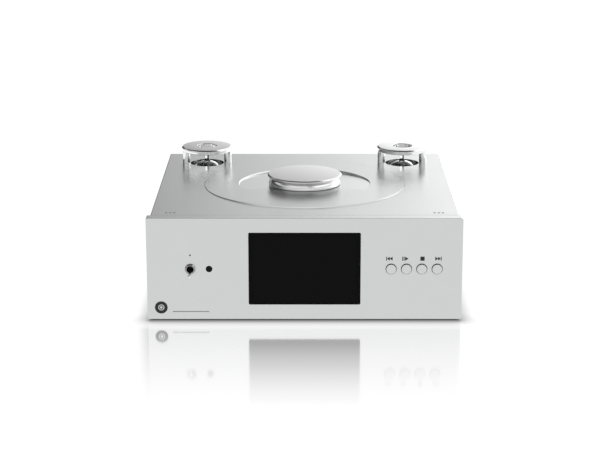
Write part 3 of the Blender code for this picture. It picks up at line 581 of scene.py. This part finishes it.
def top_plate():
    outline = rectangle(PLATE_LOW.x, PLATE_LOW.y, PLATE_HIGH.x, PLATE_HIGH.y, 0.8 * MM)
    plate = slab("top_plate_deck", outline, PLATE_BOTTOM, TOP, "Z", DECK, 0.7 * MM)
    ledge, below, above = LID_BOTTOM - 0.1 * MM, PLATE_BOTTOM - 2 * MM, TOP + 5 * MM
    tools = [
        hole(LID_RADIUS + LID_GAP, (0, 0, ledge), (0, 0, above), FINE * 2),
        hole(OPENING_RADIUS, (0, 0, below), (0, 0, above), FINE),
    ]
    for word in SIDES:
        x, y, _ = middle(f"valve_glass_{word}")
        tools.append(hole(VALVE_HOLE, (x, y, below), (x, y, above), FINE))
    carve(plate, *tools)
    break_rims(plate, "Z", TOP)

    def on_side_bevel(face):
        return 0.2 < abs(face.normal.x) < 0.98 and abs(face.center.x) > PLATE_HIGH.x - 1 * MM

    # the broken side edges take a darker aluminium than the deck, painted shade for a dark seam line
    # along the sides
    repaint(plate, EDGE, on_side_bevel)
    place(weight_normals(plate), "case", "top_plate")
    for end, y in (("front", -42 * MM), ("rear", 42 * MM)):
        for side, x in (("left", -58 * MM), ("right", 58 * MM)):
            foot, head = (x, y, 54 * MM), (x, y, PLATE_BOTTOM)
            place(rod(f"damper_boss_{end}_{side}", foot, head, 4 * MM, DECK), "case")


def screw_head(name, at, facing, radius=2.2 * MM):
    """A countersunk socket screw, flush to within a tenth of a millimetre of the face at `at`."""
    proud, land, deep = 0.08 * MM, 0.3 * MM, 1.4 * MM
    profile = rounded([
        (0, proud), (radius, proud, 0.15 * MM), (radius, -land), (0.5 * radius, -deep), (0, -deep),
    ])
    head = turned(name.replace("-", "m"), profile, STEEL, 48)
    hexagon = arc((0, 0), 0.55 * radius, 0, 300, 6)
    carve(head, slab("socket", hexagon, -1.0 * MM, 2 * MM, "Z"))
    head.location = at
    place(aim(head, facing), "case")


def case_details():
    """Feet, and the screws of the base and the rear panel."""
    height, dish = 1.9 * MM, 0.6 * MM
    for node in [f"foot_{end}_{side}" for end in ("front", "rear") for side in SIDES]:
        _, _, centre, r = sized(node)
        profile = rounded([
            (0, height), (r, height, 0.2 * MM), (r, 0, 0.6 * MM), (0.62 * r, 0, 0.3 * MM),
            (0.55 * r, dish, 0.3 * MM), (0.2 * r, dish, 0.3 * MM), (0.14 * r, 0, 0.2 * MM), (0, 0),
        ])
        place(turned(node + "_pad", profile, RUBBER, at=(centre.x, centre.y, 0)), "case", node)
    base_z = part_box("base_plate")[0].z
    for x in (-94, 0, 94):
        for y in (-80, 86):
            screw_head(f"base_screw_{x}_{y}", (x * MM, y * MM, base_z), (0, 0, -1))
    for x in (-95, -52, 0, 26, 95):
        for z in (8, 59):
            screw_head(f"rear_screw_{x}_{z}", (x * MM, BODY_BACK, z * MM), (0, 1, 0))


# ---------------------------------------------------------------- front controls


def display():
    """The display's cover glass."""
    low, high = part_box("display_window")
    outline = rectangle(low.x, low.z, high.x, high.z, 0.8 * MM)
    pane = slab("display_glass", outline, low.y, high.y, "Y", DISPLAY, 0.12 * MM)
    place(weight_normals(pane), "case", "display_window")


def buttons():
    """Flat faces that stand a little proud of the panel, in a narrow gap, with sides painted dark as
    shade.
    """
    bodies = ("previous_button", "play_button", "stop_button", "next_button")
    for node, body in zip(BUTTONS, bodies):
        low, high, centre, flange = sized(node)
        depth, r, rim, stem = high.y - low.y, BUTTON_RADIUS, 0.3 * MM, 2 * MM
        back = 1.4 * MM - depth
        front = 1 * MM + back
        profile = [
            (0, 0), (0.5 * r, 0), *arc((r - rim, -rim), rim, 90, 0, 12), (r, front), (flange, front),
            (flange, back), (stem, back), (stem, -depth), (0, -depth),
        ]
        cap = turned(node + "_cap", profile, BUTTON, at=(centre.x, low.y, centre.z), turn=TO_FRONT)
        # the sides get dark metal: painted shade for the dark crescent in the gap
        repaint(cap, DARK_METAL, lambda face: abs(face.normal.z) < 0.75)
        place(cap, body, node)


def power_switch():
    """A domed round nut on its bushing, the switch behind it, and a waisted lever."""
    low, high, centre, _ = sized("power_switch")
    front = PANEL_FRONT - low.y
    nut, bore, inner = 3.45 * MM, 2.2 * MM, 2.0 * MM
    profile = rounded([
        (0, -6.5 * MM), (bore, -6.5 * MM), (bore, front - 0.5 * MM, 0.3 * MM),
        (bore + 0.15 * MM, front, 0.25 * MM), (2.6 * MM, front, 0.12 * MM),
        (2.66 * MM, front - 0.16 * MM, 0.1 * MM), (2.74 * MM, front - 0.1 * MM, 0.1 * MM),
        (2.85 * MM, front - 0.12 * MM, 0.1 * MM), (nut, front - 0.8 * MM, 0.12 * MM),
        (nut, 0.1 * MM, 0.1 * MM), (2.9 * MM, 0.1 * MM), (2.9 * MM, -9.5 * MM), (0, -9.5 * MM),
    ])
    at = (centre.x, PANEL_FRONT, BUTTON_HEIGHT)
    place(turned("power_switch_bushing", profile, NUT, at=at, turn=TO_FRONT), "case", "power_switch")
    outer, back = bore - 0.02 * MM, -6 * MM
    throat = [
        (outer, front - 0.7 * MM), (outer, back), (0, back), (0, back + 0.1 * MM),
        (inner, back + 0.1 * MM), (inner, front - 0.8 * MM),
    ]
    place(turned("power_switch_throat", throat, DARK, at=at, turn=TO_FRONT), "case")
    half, tall = 4 * MM, 6.5 * MM
    outline = rectangle(at[0] - half, PANEL_BACK + 0.1 * MM, at[0] + half, high.y)
    base, head = BUTTON_HEIGHT - tall, BUTTON_HEIGHT + tall
    body = slab("power_switch_case", outline, base, head, "Z", DARK, 0.3 * MM, 2)
    place(weight_normals(body), "case")

    length, waist = 12 * MM, 0.72 * MM
    profile = rounded([
        *arc((0, length), 1.2 * MM, 90, -8, 10), (0.98 * MM, length - 2.2 * MM, 0.6 * MM),
        (waist, length - 5 * MM, 0.8 * MM), (waist, 2.4 * MM, 0.3 * MM),
        *arc((0, 0), 1.5 * MM, 58, -90, 10),
    ])
    lever = turned("power_switch_lever_stem", profile, CHROME)
    lever.data.transform(Matrix.Rotation(math.pi / 2 + LEVER_TILT, 4, "X"))
    lever.location = (at[0], PANEL_FRONT + 3 * MM, BUTTON_HEIGHT)
    place(lever, "switch_lever", "power_switch_lever")


def window_and_light():
    """The infrared window and the status light, slightly crowned."""
    for node, material, r in (("ir_window", IR_BLACK, 2.07 * MM), ("status_led", DARK, 0.45 * MM)):
        low, high, centre, _ = sized(node)
        depth, crown = high.y - low.y, 0.05 * r
        profile = rounded([
            (0, crown * 0.3), (0.5 * r, crown * 0.1), (r, -crown, 0.1 * r), (r, -depth), (0, -depth),
        ])
        at = (centre.x, low.y, centre.z)
        place(turned(node + "_lens", profile, material, SMALL, at, TO_FRONT), "case", node)


# ---------------------------------------------------------------- printed marks


def marks(name, shapes, material=INK, face=PANEL_FRONT, axis="Y", side=-1):
    """Thin prints that lie on a face: each shape is an outline in the face's plane."""
    shape = bmesh.new()
    for outline in shapes:
        part = slab("mark", outline, face, face + side * PRINT, axis)
        shape.from_mesh(part.data)
        bpy.data.objects.remove(part)
    place(new_object(name, shape, material), "case")


def ring_outline(centre, outer, inner):
    """A band between two radii, as one outline."""
    return arc(centre, outer, 0, 360, 48) + arc(centre, inner, 360, 0, 48)


def transport_icons():
    """Previous, play or pause, stop and next, printed over the buttons."""
    half, bar, head = 1.4 * MM, 0.55 * MM, 1.8 * MM
    z = BUTTON_HEIGHT + 7 * MM

    def triangle(x, direction, length=head):
        return [(x, z - half), (x + direction * length, z), (x, z + half)]

    def upright(x):
        return rectangle(x, z - half, x + bar, z + half)

    first, second, third, fourth = [middle(name).x for name in BUTTONS]
    start = first - 3.3 * MM
    tips = [start + bar + head, start + bar + 2 * head]
    marks("icon_previous", [upright(start), *[triangle(x, -1) for x in tips]])
    start = second - 2.85 * MM
    play = triangle(start + 3 * bar + 0.15 * MM, 1, 2.3 * MM)
    marks("icon_play_pause", [upright(start), upright(start + 1.65 * bar), play])
    start = third - 1.05 * MM
    marks("icon_stop", [rectangle(start, z - half, start + 2 * half, z + half)])
    start = fourth - 1.35 * MM
    starts = [start, start + head]
    marks("icon_next", [*[triangle(x, 1) for x in starts], upright(start + 2 * head)])


def generic_mark():
    """A plain disc pictogram and a short rule, low on the left of the panel."""
    x, z = PANEL_LOW.x + 9 * MM, PANEL_LOW.z + 8 * MM
    bands = ((4.2 * MM, 2.0 * MM), (1.5 * MM, 0.85 * MM))
    marks("disc_pictogram", [ring_outline((x, z), outer, inner) for outer, inner in bands])
    start = x + 7.5 * MM
    rule = [rectangle(start, z - 3.1 * MM, start + 24 * MM, z - 2.5 * MM)]
    marks("plain_rule", rule, GREY_INK)


def deck_dashes():
    """Small plain dashes on the deck's front corners."""
    y, pitch, half, tall = PLATE_LOW.y + 6 * MM, 2.7 * MM, 0.8 * MM, 0.9 * MM
    for word, centre in (("left", -88 * MM), ("right", 88 * MM)):
        places = [centre + i * pitch for i in (-1, 0, 1)]
        dashes = [rectangle(x - half, y - tall, x + half, y + tall) for x in places]
        marks(f"deck_dashes_{word}", dashes, GREY_INK, TOP, "Z", 1)


# ---------------------------------------------------------------- lid


def lid_plate():
    """Flush behind, rising to its front edge, with a sloping finger scoop behind the knob."""
    rise = (LID_HIGH.z - TOP) / LID_RADIUS
    fall = SCOOP_DEPTH / (SCOOP_RADIUS - SCOOP_START)
    stem, edge, chamfer = STEM_RADIUS + 0.3 * MM, 0.12 * MM, 0.55 * MM

    def surface(r, a):
        return TOP + rise * max(0, -r * math.sin(a))

    def scoop(r, a):
        return min(surface(r, a), TOP - fall * (r * math.sin(a) - SCOOP_START))

    def profile(a):
        wall = SCOOP_RADIUS
        lip = min(chamfer, 0.85 * (surface(wall, a) - scoop(wall, a)))
        inside = [(r, scoop(r, a)) for r in (stem, stem + edge, 18 * MM, 30 * MM, 40 * MM, wall - 1 * MM)]
        outside = [(r, surface(r, a)) for r in (wall + 1 * MM, 58 * MM, LID_RADIUS - 1.5 * MM)]
        rim = surface(LID_RADIUS, a)
        lean = 0.22 * (rim - TOP)
        return [
            (stem, LID_BOTTOM), *inside, (wall, scoop(wall, a)), (wall, surface(wall, a) - lip),
            (wall + lip, surface(wall, a)), *outside, (LID_RADIUS - lean - edge, rim),
            (LID_RADIUS - lean - 0.3 * edge, rim - 0.3 * edge), (LID_RADIUS - lean, rim - edge),
            (LID_RADIUS, TOP - edge), (LID_RADIUS, LID_BOTTOM),
        ]

    lid = turned("lid_plate_disc", profile, DECK, FINE * 2, closed=True)
    place(weight_normals(lid), "lid", "lid_plate")


def lid_knob():
    """A flange over a V groove and a flared lower ring. The flange's top edge is chamfered."""
    low, high, _, r = sized("lid_knob")
    lower, groove, edge = 25 * MM, 23.4 * MM, 0.7 * MM
    bottom, bore, recess = 70.95 * MM, 2.6 * MM, 71 * MM
    profile = rounded([
        (0, high.z), (r - edge, high.z, 0.06 * MM), (r, high.z - edge, 0.1 * MM),
        (r, 76.3 * MM, 0.25 * MM), (r - 0.5 * MM, 75.95 * MM, 0.2 * MM),
        (groove, 75.3 * MM, 0.15 * MM), (lower - 0.45 * MM, 73.6 * MM, 0.8 * MM),
        (lower, 72.4 * MM, 0.6 * MM), (lower, bottom + 0.1 * MM, 0.05 * MM),
        (lower - 0.2 * MM, bottom, 0.05 * MM), (STEM_RADIUS, bottom, 0.2 * MM),
        (STEM_RADIUS, low.z), (bore, low.z), (bore, recess), (0, recess),
    ], 5)
    place(turned("lid_knob_grip", profile, BRIGHT, FINE * 2), "lid", "lid_knob")


def clamp():
    """The puck under the lid and the shoulder screw that it turns on."""
    low, high, _, r = sized("disc_clamp")
    profile = rounded([
        (2.6 * MM, high.z), (14 * MM, high.z, 0.3 * MM), (r, high.z - 1.5 * MM, 0.4 * MM),
        (r, low.z, 0.4 * MM), (13.4 * MM, low.z, 0.1 * MM),
        (13.2 * MM, low.z + 0.25 * MM, 0.1 * MM), (9.8 * MM, low.z + 0.25 * MM, 0.1 * MM),
        (9.6 * MM, low.z, 0.1 * MM), (8 * MM, low.z, 0.2 * MM), (8 * MM, 63.3 * MM),
        (2.6 * MM, 63.3 * MM),
    ])
    place(turned("disc_clamp_puck", profile, DARK_METAL, FINE, closed=True), "clamp", "disc_clamp")
    low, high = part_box("clamp_shoulder_screw")
    head, shank = 4.6 * MM, 2.3 * MM
    profile = rounded([
        (0, high.z), (shank, high.z), (shank, 63 * MM), (head, 63 * MM, 0.15 * MM),
        (head, low.z, 0.3 * MM), (1.6 * MM, low.z), (1.6 * MM, low.z + 0.8 * MM),
        (0, low.z + 0.8 * MM),
    ])
    place(turned("clamp_screw", profile, STEEL, SMALL), "lid", "clamp_shoulder_screw")


# ---------------------------------------------------------------- disc drive


def disc_well():
    """A dish with a raised flange, a shallow ring in its floor and a slot for the laser."""
    low, high, _, flange = sized("disc_well")
    top, base, bottom = high.z, 56.5 * MM, low.z
    outer, inner = OPENING_RADIUS - 0.3 * MM, 61.4 * MM
    step = 0.4 * MM
    profile = rounded([
        (inner, top, 0.2 * MM), (outer, top, 0.2 * MM), (outer, 63.4 * MM),
        (flange, 63.4 * MM), (flange, 61.9 * MM), (outer, 61.9 * MM),
        (outer, bottom, 0.5 * MM), (16 * MM, bottom), (16 * MM, base, 0.3 * MM),
        (23 * MM, base, 0.3 * MM), (23.6 * MM, base - step, 0.3 * MM),
        (56.4 * MM, base - step, 0.3 * MM), (57 * MM, base, 0.3 * MM), (inner, base, 0.8 * MM),
        (inner, base + 1.4 * MM),
    ])
    well = turned("disc_well_dish", profile, DARK, FINE, closed=True)
    far, half = 60.8 * MM, 5.5 * MM
    outline = rectangle(-half, -far, half, -10 * MM, 1.5 * MM)
    carve(well, slab("slot", outline, bottom - 1 * MM, base + 1 * MM, "Z"))
    place(well, "case", "disc_well")


def spindle():
    """The hub and its platform, with a grip ring and three centring balls."""
    low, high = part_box("spindle_hub")
    plane, r = 59.5 * MM, 14 * MM
    profile = rounded([
        (0, high.z - 0.5 * MM), (3.2 * MM, high.z - 0.5 * MM, 0.2 * MM),
        (3.4 * MM, high.z, 0.2 * MM), (6.4 * MM, high.z, 0.5 * MM),
        (7.4 * MM, plane + 0.5 * MM, 0.3 * MM), (7.4 * MM, plane), (r, plane, 0.25 * MM),
        (r, plane - 1.2 * MM, 0.25 * MM), (4 * MM, plane - 1.2 * MM), (4 * MM, 54.3 * MM),
        (1.25 * MM, 54.3 * MM), (1.25 * MM, low.z), (0, low.z),
    ])
    place(turned("spindle_hub_platform", profile, DARK, FINE), "spindle", "spindle_hub")
    grip = plane + 0.03 * MM
    pad = [(13.2 * MM, grip), (13.2 * MM, plane), (8.6 * MM, plane), (8.6 * MM, grip)]
    place(turned("spindle_grip_ring", pad, RUBBER, FINE, closed=True), "spindle")
    profile = arc((0, 0), 0.7 * MM, 90, -90, 9)
    for i, (x, y) in enumerate(thirds((0, 0), 5 * MM)):
        at = (x, y, high.z - 0.45 * MM)
        place(turned(f"spindle_ball_{i}", profile, STEEL, 24, at), "spindle")


def laser():
    """The lens holder and the coated lens in it."""
    low, high, centre, r = sized("laser_lens")
    at, top = (0, centre.y, 0), high.z
    seat = top - 0.85 * MM
    profile = rounded([
        (0, seat), (1.9 * MM, top - 0.8 * MM), (2.0 * MM, top - 0.4 * MM, 0.15 * MM),
        (2.3 * MM, top - 0.4 * MM, 0.15 * MM), (r, top - 0.7 * MM, 0.2 * MM), (r, low.z),
        (0, low.z),
    ])
    place(turned("laser_lens_holder", profile, DARK, SMALL, at), "lens", "laser_lens")
    dome = arc((0, seat), 1.7 * MM, 90, 0, 12, squeeze=0.48)
    place(turned("laser_lens_glass", [*dome, (0, seat)], LENS_BLUE, SMALL, at), "lens")


# ---------------------------------------------------------------- valves


def valve(word):
    """The glass envelope with its getter film, the electrodes between two mica discs, and the holder."""
    low, high, centre, r = sized(f"valve_glass_{word}")
    x, y, _ = centre
    at = (x, y, 0)
    inner_r, tip = r - 0.9 * MM, 1.45 * MM
    rise = DOME_TOP - DOME_START
    squeeze = (rise - 0.9 * MM) / inner_r
    profile = rounded([
        (0, high.z), (0.35 * MM, high.z), (0.95 * MM, high.z - 0.5 * MM, 0.3 * MM),
        (tip, high.z - 1.7 * MM, 0.6 * MM), (tip, DOME_TOP + 1.0 * MM, 0.8 * MM),
        *arc((0, DOME_START), r, 78, 0, 24, rise / r), (r, low.z, 0.4 * MM), (inner_r, low.z),
        *arc((0, DOME_START), inner_r, 0, 90, 24, squeeze),
    ])
    glass = turned(f"valve_envelope_{word}", profile, GLASS, FINE, at)
    place(glass, "case", f"valve_glass_{word}")

    thick = 0.06 * MM
    outer = arc((0, DOME_START), inner_r - thick, 84, 14, 24, squeeze)
    under = [(a - thick * 0.8, b - thick) for a, b in reversed(outer)]
    film = turned(f"valve_getter_film_{word}", [*outer, *under], GETTER, FINE, at, closed=True)
    place(film, "case")

    low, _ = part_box(f"valve_electrodes_{word}")
    disc, top = 9.4 * MM, 31 * MM
    profile = rounded([(0, top), (disc, top, 0.8 * MM), (disc, low.z, 0.3 * MM), (0, low.z)])
    base = turned(f"valve_base_{word}", profile, GLASS, at=at)
    place(base, "case", f"valve_electrodes_{word}")
    for name, z in (("lower", 34 * MM), ("upper", 59.5 * MM)):
        top = z + 0.35 * MM
        sheet = rounded([(0, top), (disc, top, 0.1 * MM), (disc, z), (0, z)])
        place(turned(f"valve_mica_{name}_{word}", sheet, MICA, at=at), "case")
    wide, deep = 2.9 * MM, 4.6 * MM
    for side, shift in (("a", -3.9 * MM), ("b", 3.9 * MM)):
        axis = x + shift
        outline = rectangle(axis - wide, y - deep, axis + wide, y + deep, 1.6 * MM)
        name = f"valve_anode_{side}_{word}"
        place(slab(name, outline, 35 * MM, 59 * MM, "Z", GRAPHITE, 0.15 * MM), "case")
        for k, back in enumerate((-4.0 * MM, 4.0 * MM)):
            start, end = (axis, y + back, 31.2 * MM), (axis, y + back, 61.5 * MM)
            place(rod(f"valve_support_{side}{k}_{word}", start, end, 0.35 * MM, STEEL), "case")

    loop, height = 3.2 * MM, 64 * MM
    tube, name = arc((loop, 0), 0.4 * MM, 0, 330, 12), f"valve_getter_ring_{word}"
    place(turned(name, tube, GRAPHITE, 48, (x, y, height), closed=True), "case")
    start, end = (x + loop, y, 59.8 * MM), (x + loop, y, height)
    place(rod(f"valve_getter_stem_{word}", start, end, 0.3 * MM, STEEL), "case")

    low, high, _, r = sized(f"valve_socket_{word}")
    foot = r - 1.2 * MM
    profile = rounded([
        (0, high.z), (r - 1 * MM, high.z, 0.5 * MM), (r, high.z - 1.2 * MM, 0.5 * MM),
        (r, 21 * MM, 0.4 * MM), (foot, 20.5 * MM, 0.3 * MM), (foot, low.z), (0, low.z),
    ])
    holder = turned(f"valve_holder_{word}", profile, CERAMIC, at=at)
    place(holder, "case", f"valve_socket_{word}")


def valve_cover(word):
    """A round cap with a hole in its middle, on two posts."""
    low, high, centre, r = sized(f"valve_cover_{word}")
    hole_r, ring, lip = 7 * MM, r - 0.6 * MM, high.z - 1.35 * MM
    profile = rounded([
        (hole_r + 0.25 * MM, high.z, 0.1 * MM), (r - 0.85 * MM, high.z, 0.06 * MM),
        (r, high.z - 0.85 * MM, 0.1 * MM), (r, lip, 0.12 * MM), (ring, lip - 0.25 * MM, 0.1 * MM),
        (ring, low.z + 0.3 * MM, 0.1 * MM), (ring - 0.3 * MM, low.z, 0.1 * MM),
        (hole_r, low.z, 0.15 * MM), (hole_r, high.z - 0.25 * MM, 0.1 * MM),
    ])
    cap = turned(f"valve_cap_{word}", profile, COVER, FINE, (centre.x, centre.y, 0), closed=True)
    place(cap, "case", f"valve_cover_{word}")
    for where in ("inner", "outer"):
        node = f"cover_post_{word}_{where}"
        foot, _, post, radius = sized(node)
        bolt = 1.5 * MM
        profile = rounded([
            (0, low.z), (radius, low.z, 0.15 * MM), (radius, TOP, 0.15 * MM), (bolt, TOP),
            (bolt, foot.z), (0, foot.z),
        ])
        name = f"cover_pillar_{word}_{where}"
        place(turned(name, profile, COVER, at=(post.x, post.y, 0)), "case", node)


# ---------------------------------------------------------------- rear


def rear_sockets():
    """Gilt plug sockets with coloured insulators, and the pins and screws of the XLR sockets."""
    rings = {"line_socket_left": WHITE_RING, "line_socket_right": RED_RING, "digital_socket": DARK}
    for node, ring in rings.items():
        low, high, centre, nut = sized(node)
        at = (centre.x, BODY_BACK, centre.z)
        reach, depth = high.y - BODY_BACK, BODY_BACK - low.y
        barrel, bore, inside, seat = 4.1 * MM, 3.1 * MM, reach - 8 * MM, 0.1 * MM
        waist = barrel - 0.25 * MM
        profile = rounded([
            (bore, inside), (bore, reach, 0.1 * MM), (barrel, reach, 0.25 * MM),
            (barrel, reach - 2 * MM, 0.1 * MM), (waist, reach - 2.4 * MM, 0.1 * MM),
            (waist, 2.9 * MM), (nut, 2.4 * MM, 0.3 * MM), (nut, seat, 0.2 * MM), (barrel, seat),
            (barrel, -depth), (0, -depth), (0, inside),
        ])
        shell = turned(node + "_barrel", profile, GOLD, at=at, turn=TO_REAR, closed=True)
        place(shell, "case", node)
        inner, outer, back, front = 1.55 * MM, 3.05 * MM, reach - 7.9 * MM, reach - 0.4 * MM
        core = rounded([
            (inner, back), (inner, front, 0.1 * MM), (outer, front, 0.1 * MM), (outer, back),
        ])
        place(turned(node + "_insulator", core, ring, SMALL, at, TO_REAR, closed=True), "case")
    start, end = BODY_BACK - 9 * MM, BODY_BACK + 0.3 * MM
    for word in SIDES:
        _, high, centre, _ = sized(f"xlr_socket_{word}")
        for i, (x, z) in enumerate(thirds((centre.x, centre.z), 4 * MM)):
            pin = rod(f"xlr_pin_{word}_{i}", (x, start, z), (x, end, z), 1.25 * MM, GOLD)
            place(pin, "case")
        for side in (-1, 1):
            at = (centre.x + side * 10 * MM, high.y, centre.z - side * 12 * MM)
            screw_head(f"xlr_screw_{word}_{side}", at, (0, 1, 0), 1.6 * MM)


# ---------------------------------------------------------------- CAD pieces kept as they are


def finish_kept_nodes():
    for part in frame["record"]["subparts"]:
        node = frame["nodes"][part["node"]]
        if node.hide_render:
            continue
        node.data.materials.clear()
        node.data.materials.append(SLOTS[part["material_slot"]][0])
        smooth(node)


# ---------------------------------------------------------------- stage

FLOOR_HALF = 0.7  # half the floor's width, in metres
MIRROR_REACH = 165 * MM
MIRROR_FADE = (
    (0.0, 0.0), (0.03, 0.14), (0.06, 0.34), (0.1, 0.7), (0.17, 0.68), (0.29, 0.58), (0.41, 0.45),
    (0.52, 0.36), (0.63, 0.25), (0.78, 0.12), (1.0, 0.0),
)
MIRROR_BRIGHTNESS = 1.62
MIRROR_ROUGHNESS = 0.09
NEAR = 12 * MM  # how close a piece must come to the floor to darken it
# the painted shadow under the front edge: how far it reaches, and how it fades
CONTACT_REACH = 7.5 * MM
CONTACT_FADE = (
    (0.0, 0.0), (0.17, 0.07), (0.33, 0.28), (0.5, 0.48), (0.67, 0.64), (0.83, 0.73), (1.0, 0.79),
)
WHITE = 1.02  # the backdrop that the camera sees

# Brightness round the horizon, in three rings from the floor up. The first number of each is in
# degrees from straight behind, positive to the right.
LOW_CARDS = (
    (-180, 0.66), (-125, 0.55), (-95, 0.1), (-20, 0.03), (-8, 0.26), (0, 0.68), (8, 1.25),
    (20, 1.75), (35, 1.8), (62, 1.6), (86, 0.85), (125, 0.6), (180, 0.66),
)
MID_CARDS = (
    (-180, 0.75), (-58, 0.75), (-43, 0.24), (-22, 0.1), (0, 0.72), (25, 1.15), (100, 1.1),
    (180, 0.75),
)
HIGH_CARDS = (
    (-180, 0.88), (-125, 0.88), (-100, 0.16), (-20, 0.16), (0, 0.8), (30, 1.25), (128, 1.3),
    (145, 0.95), (153, 0.35), (161, 0.35), (169, 0.88), (180, 0.88),
)
# The heights at which one ring gives way to the next, where 1 is straight up
LOW_TO_MID = (0.34, 0.42)
MID_TO_HIGH = (0.5, 0.6)
LOW_FALL = (0.05, 0.4, 1.6, 0.6)  # the low ring dims from 1.6 times to 0.6 times over these heights
PATCH_HEIGHT = (0.76, 0.87)
PATCH_DEPTH = (0.12, -0.06)
PATCH_GREY = 0.04

CAMERA_PLACE = (0.0003, -1.1907, 0.3605)
CAMERA_PITCH = math.radians(15.05)
CAMERA_LENS, CAMERA_SENSOR = 103.3, 36  # in millimetres
CAMERA_CLIP = (0.05, 20)


def empty_tree(owner):
    owner.use_nodes = True
    owner.node_tree.nodes.clear()
    return Nodes(owner.node_tree)


def floor():
    """A pale, evenly lit floor that mirrors the front faintly, with a painted contact shadow where things
    come close.
    """
    shape = bmesh.new()
    bmesh.ops.create_grid(shape, x_segments=1, y_segments=1, size=FLOOR_HALF)
    material = bpy.data.materials.new("pale_floor")
    made = empty_tree(material)
    geometry = made.node("NewGeometry")
    x, y, _ = made.split(geometry.outputs["Position"])

    # only where a mirrored ray would meet the front panel, fading with the distance from it
    distance = made.ranged(y, PANEL_FRONT, PANEL_FRONT - MIRROR_REACH)
    to_x, to_y, to_z = made.split(geometry.outputs["Incoming"])
    steps = made.maths("DIVIDE", made.maths("SUBTRACT", y, PANEL_FRONT), to_y)
    met_x = made.maths("SUBTRACT", x, made.maths("MULTIPLY", steps, to_x))
    met_z = made.maths("MULTIPLY", steps, to_z)
    edge, top = PANEL_HIGH.x, PANEL_HIGH.z
    away = made.maths("ABSOLUTE", met_x)
    sides = made.ranged(away, edge - 3 * MM, edge + 9 * MM, 1, 0, "SMOOTHSTEP")
    above = made.ranged(met_z, top - 18 * MM, top - 3 * MM, 1, 0, "SMOOTHSTEP")
    seen = made.node("LightPath").outputs["Is Camera Ray"]
    share = made.ramp(distance, MIRROR_FADE)
    for factor in (sides, above, made.maths("GREATER_THAN", met_z, 0), seen):
        share = made.maths("MULTIPLY", share, factor)

    # painted shade: the glow dims where pieces come close and brightens under the front edge as if light
    # leaked in, and the floor stays bright in reflections
    near = made.node("AmbientOcclusion", {"Distance": NEAR}, samples=8)
    closeness = made.ranged(near.outputs["AO"], 0.25, 1.0, 0.05, WHITE)
    under = made.ranged(y, PANEL_FRONT + CONTACT_REACH, PANEL_FRONT - CONTACT_REACH)
    shade = made.maths("MAXIMUM", closeness, made.ramp(under, CONTACT_FADE))
    shade = made.maths("MAXIMUM", shade, made.ranged(seen, 0, 1, 1, 0))
    glow = made.node("Emission", {"Strength": shade}).outputs["Emission"]
    inputs = {"Roughness": MIRROR_ROUGHNESS, "Color": MIRROR_BRIGHTNESS}
    mirror = made.node("BsdfGlossy", inputs).outputs["BSDF"]
    mix = made.node("MixShader", {"Fac": share, 1: glow, 2: mirror})
    made.node("OutputMaterial", {"Surface": mix.outputs["Shader"]})
    new_object("floor", shape, material)


def studio():
    """White and dark cards round the object, and a dark patch over the camera's side."""
    world = bpy.data.worlds.new("studio")
    bpy.context.scene.world = world
    made = empty_tree(world)
    x, y, z = made.split(made.node("TexCoord").outputs["Generated"])
    turn = made.ranged(made.maths("ARCTAN2", x, y), -math.pi, math.pi)

    def ring_of_cards(stops):
        return made.ramp(turn, [(degrees / 360 + 0.5, value) for degrees, value in stops])

    def step(value, ends):
        return made.ranged(value, *ends, kind="SMOOTHSTEP")

    inputs = {0: ring_of_cards(LOW_CARDS), "Scale": made.ranged(z, *LOW_FALL)}
    low = made.node("VectorMath", inputs, operation="SCALE").outputs["Vector"]
    lower = made.blend(step(z, LOW_TO_MID), low, ring_of_cards(MID_CARDS))
    sides = made.blend(step(z, MID_TO_HIGH), lower, ring_of_cards(HIGH_CARDS))
    overhead = made.maths("MULTIPLY", step(z, PATCH_HEIGHT), step(y, PATCH_DEPTH))
    dome = made.blend(overhead, sides, PATCH_GREY)
    seen = made.node("LightPath").outputs["Is Camera Ray"]
    background = made.node("Background", {"Color": made.blend(seen, dome, WHITE)})
    made.node("OutputWorld", {"Surface": background.outputs["Background"]})


def camera():
    data = bpy.data.cameras.new("camera")
    data.lens, data.sensor_width = CAMERA_LENS, CAMERA_SENSOR
    data.clip_start, data.clip_end = CAMERA_CLIP
    made = bpy.data.objects.new("camera", data)
    bpy.context.scene.collection.objects.link(made)
    made.location = CAMERA_PLACE
    made.rotation_euler = (math.pi / 2 - CAMERA_PITCH, 0, 0)
    bpy.context.scene.camera = made


front_panel()
top_plate()
case_details()
display()
buttons()
power_switch()
window_and_light()
transport_icons()
generic_mark()
deck_dashes()
lid_plate()
lid_knob()
clamp()
disc_well()
spindle()
laser()
for word in SIDES:
    valve(word)
    valve_cover(word)
rear_sockets()
finish_kept_nodes()

floor()
studio()
camera()
scene = bpy.context.scene
scene.view_settings.view_transform = "Standard"
scene.cycles.use_denoising = True
